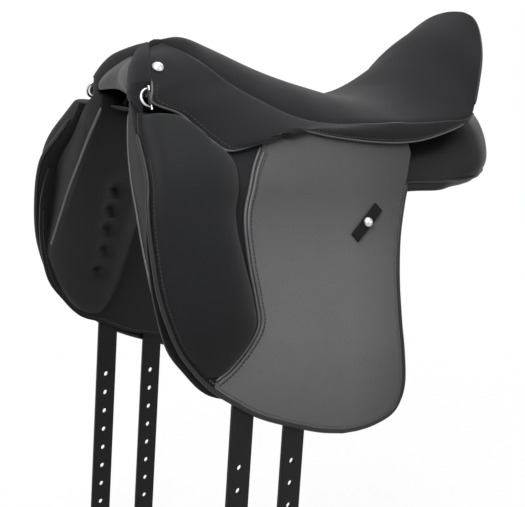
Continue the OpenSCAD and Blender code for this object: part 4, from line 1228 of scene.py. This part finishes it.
def chape_loop(w):
    """The outline of a strap folded round the ring's bar, at a height along it."""
    angles = [math.radians(a) for a in range(-90, 91, 15)]
    points = [(CHAPE_R * math.cos(a), CHAPE_R * math.sin(a)) for a in angles]
    points += [(-8, 2.6), (-16, 2.0), (-22, 1.8), (-22, -1.8), (-16, -2.0), (-8, -2.6)]
    return [ring_mid + vec(x, 0, 0) + y * ring_out + w * ring_axis for x, y in points]


loops = [chape_loop(w) for w in np.linspace(-CHAPE_HALF, CHAPE_HALF, 9)]
count = len(loops[0])
last = count * (len(loops) - 1)
ends = [tuple(range(count)), tuple(reversed(range(last, last + count)))]
faces = grid_faces(len(loops), count, wrap=True) + ends
left = make_object("ring_chape_leather", [p for loop in loops for p in loop], faces, BLACK)
left = rounded(left, 0.6, 2, 50)
pair(left, "saddle", ["ring_chape_{}"])

# Camera, light and floor

# Fitted to the photo: angles, distance in metres, and width and focal length in pixels
AZ, EL, ROLL, FAR = math.radians(30.4), math.radians(9.8), math.radians(3.7), 1.364
PHOTO_W, FOCAL, SENSOR = 525, 1146, 36
target = Vector((0.1, 0, -0.08))
spot = target + FAR * Vector((math.sin(AZ) * math.cos(EL), math.cos(AZ) * math.cos(EL), math.sin(EL)))
look = (target - spot).to_track_quat("-Z", "Y").to_matrix().to_4x4()
camera = bpy.data.cameras.new("camera")
camera.sensor_width = SENSOR
camera.lens = FOCAL / PHOTO_W * SENSOR
cam = in_scene("camera", camera)
cam.matrix_world = Matrix.Translation(spot) @ look @ Matrix.Rotation(ROLL, 4, "Z")
bpy.context.scene.camera = cam

# Lamps aim at AIM: name, place, size, watts
AIM = Vector((0.08, 0, -0.05))
for name, at, size, power in (("key", (2.3, 1.9, 2.0), (1.5, 1.5), 95),
                              ("fill", (-1.4, 2.8, 0.7), (2.0, 1.6), 16),
                              ("top", (0.2, 0.3, 2.8), (2.0, 2.0), 54),
                              ("back", (-1.8, -2.0, 1.6), (1.8, 1.4), 25)):
    light = bpy.data.lights.new(name, "AREA")
    light.shape = "RECTANGLE"
    light.size, light.size_y = size
    light.energy = power
    lamp = in_scene(name, light)
    lamp.location = at
    lamp.rotation_euler = (AIM - Vector(at)).to_track_quat("-Z", "Y").to_euler()


def seen_rays(tree):
    """1 for what is seen straight on, mirrored or through glass, and 0 for light on the object."""
    rays = tree.nodes.new("ShaderNodeLightPath").outputs
    seen = rays["Is Camera Ray"]
    for kind in ("Is Glossy Ray", "Is Transmission Ray"):
        seen = combined(tree, "MAXIMUM", seen, rays[kind])
    return seen


# The floor turns to plain white away from the object, and keeps its shadow.
FLOOR_Z, FLOOR_HALF = -0.474, 30
corners = [(FLOOR_HALF * x, FLOOR_HALF * y, FLOOR_Z) for x, y in ((-1, -1), (1, -1), (1, 1), (-1, 1))]
mesh = bpy.data.meshes.new("floor")
mesh.from_pydata(corners, [], [(0, 1, 2, 3)])
floor = in_scene("floor", mesh)
m, tree, bsdf, coord = new_material("pale_floor")
set_node(bsdf, {"Base Color": (0.94, 0.94, 0.94, 1), "Roughness": 0.9})
glow = add_node(tree, "Emission", Strength=1.0)
reach = set_node(add_node(tree, "VectorMath", operation="LENGTH"), {0: coord})
fade = add_node(tree, "MapRange", **{"From Min": 0.45, "From Max": 1.5, "To Min": 0.94,
                                     "Value": reach.outputs["Value"]})
share = combined(tree, "MULTIPLY", fade.outputs["Result"], seen_rays(tree))
mixer = set_node(add_node(tree, "MixShader", Fac=share), {1: bsdf.outputs[0], 2: glow.outputs[0]})
set_node(tree.nodes["Material Output"], {"Surface": mixer.outputs[0]})
mesh.materials.append(m)

AMBIENT = 0.16
world = bpy.data.worlds.new("studio")
bpy.context.scene.world = world
world.use_nodes = True
tree = world.node_tree
level = add_node(tree, "MapRange", **{"To Min": AMBIENT, "Value": seen_rays(tree)})
set_node(tree.nodes["Background"], {"Color": (1, 1, 1, 1), "Strength": level.outputs["Result"]})
bpy.context.scene.view_settings.view_transform = "Standard"
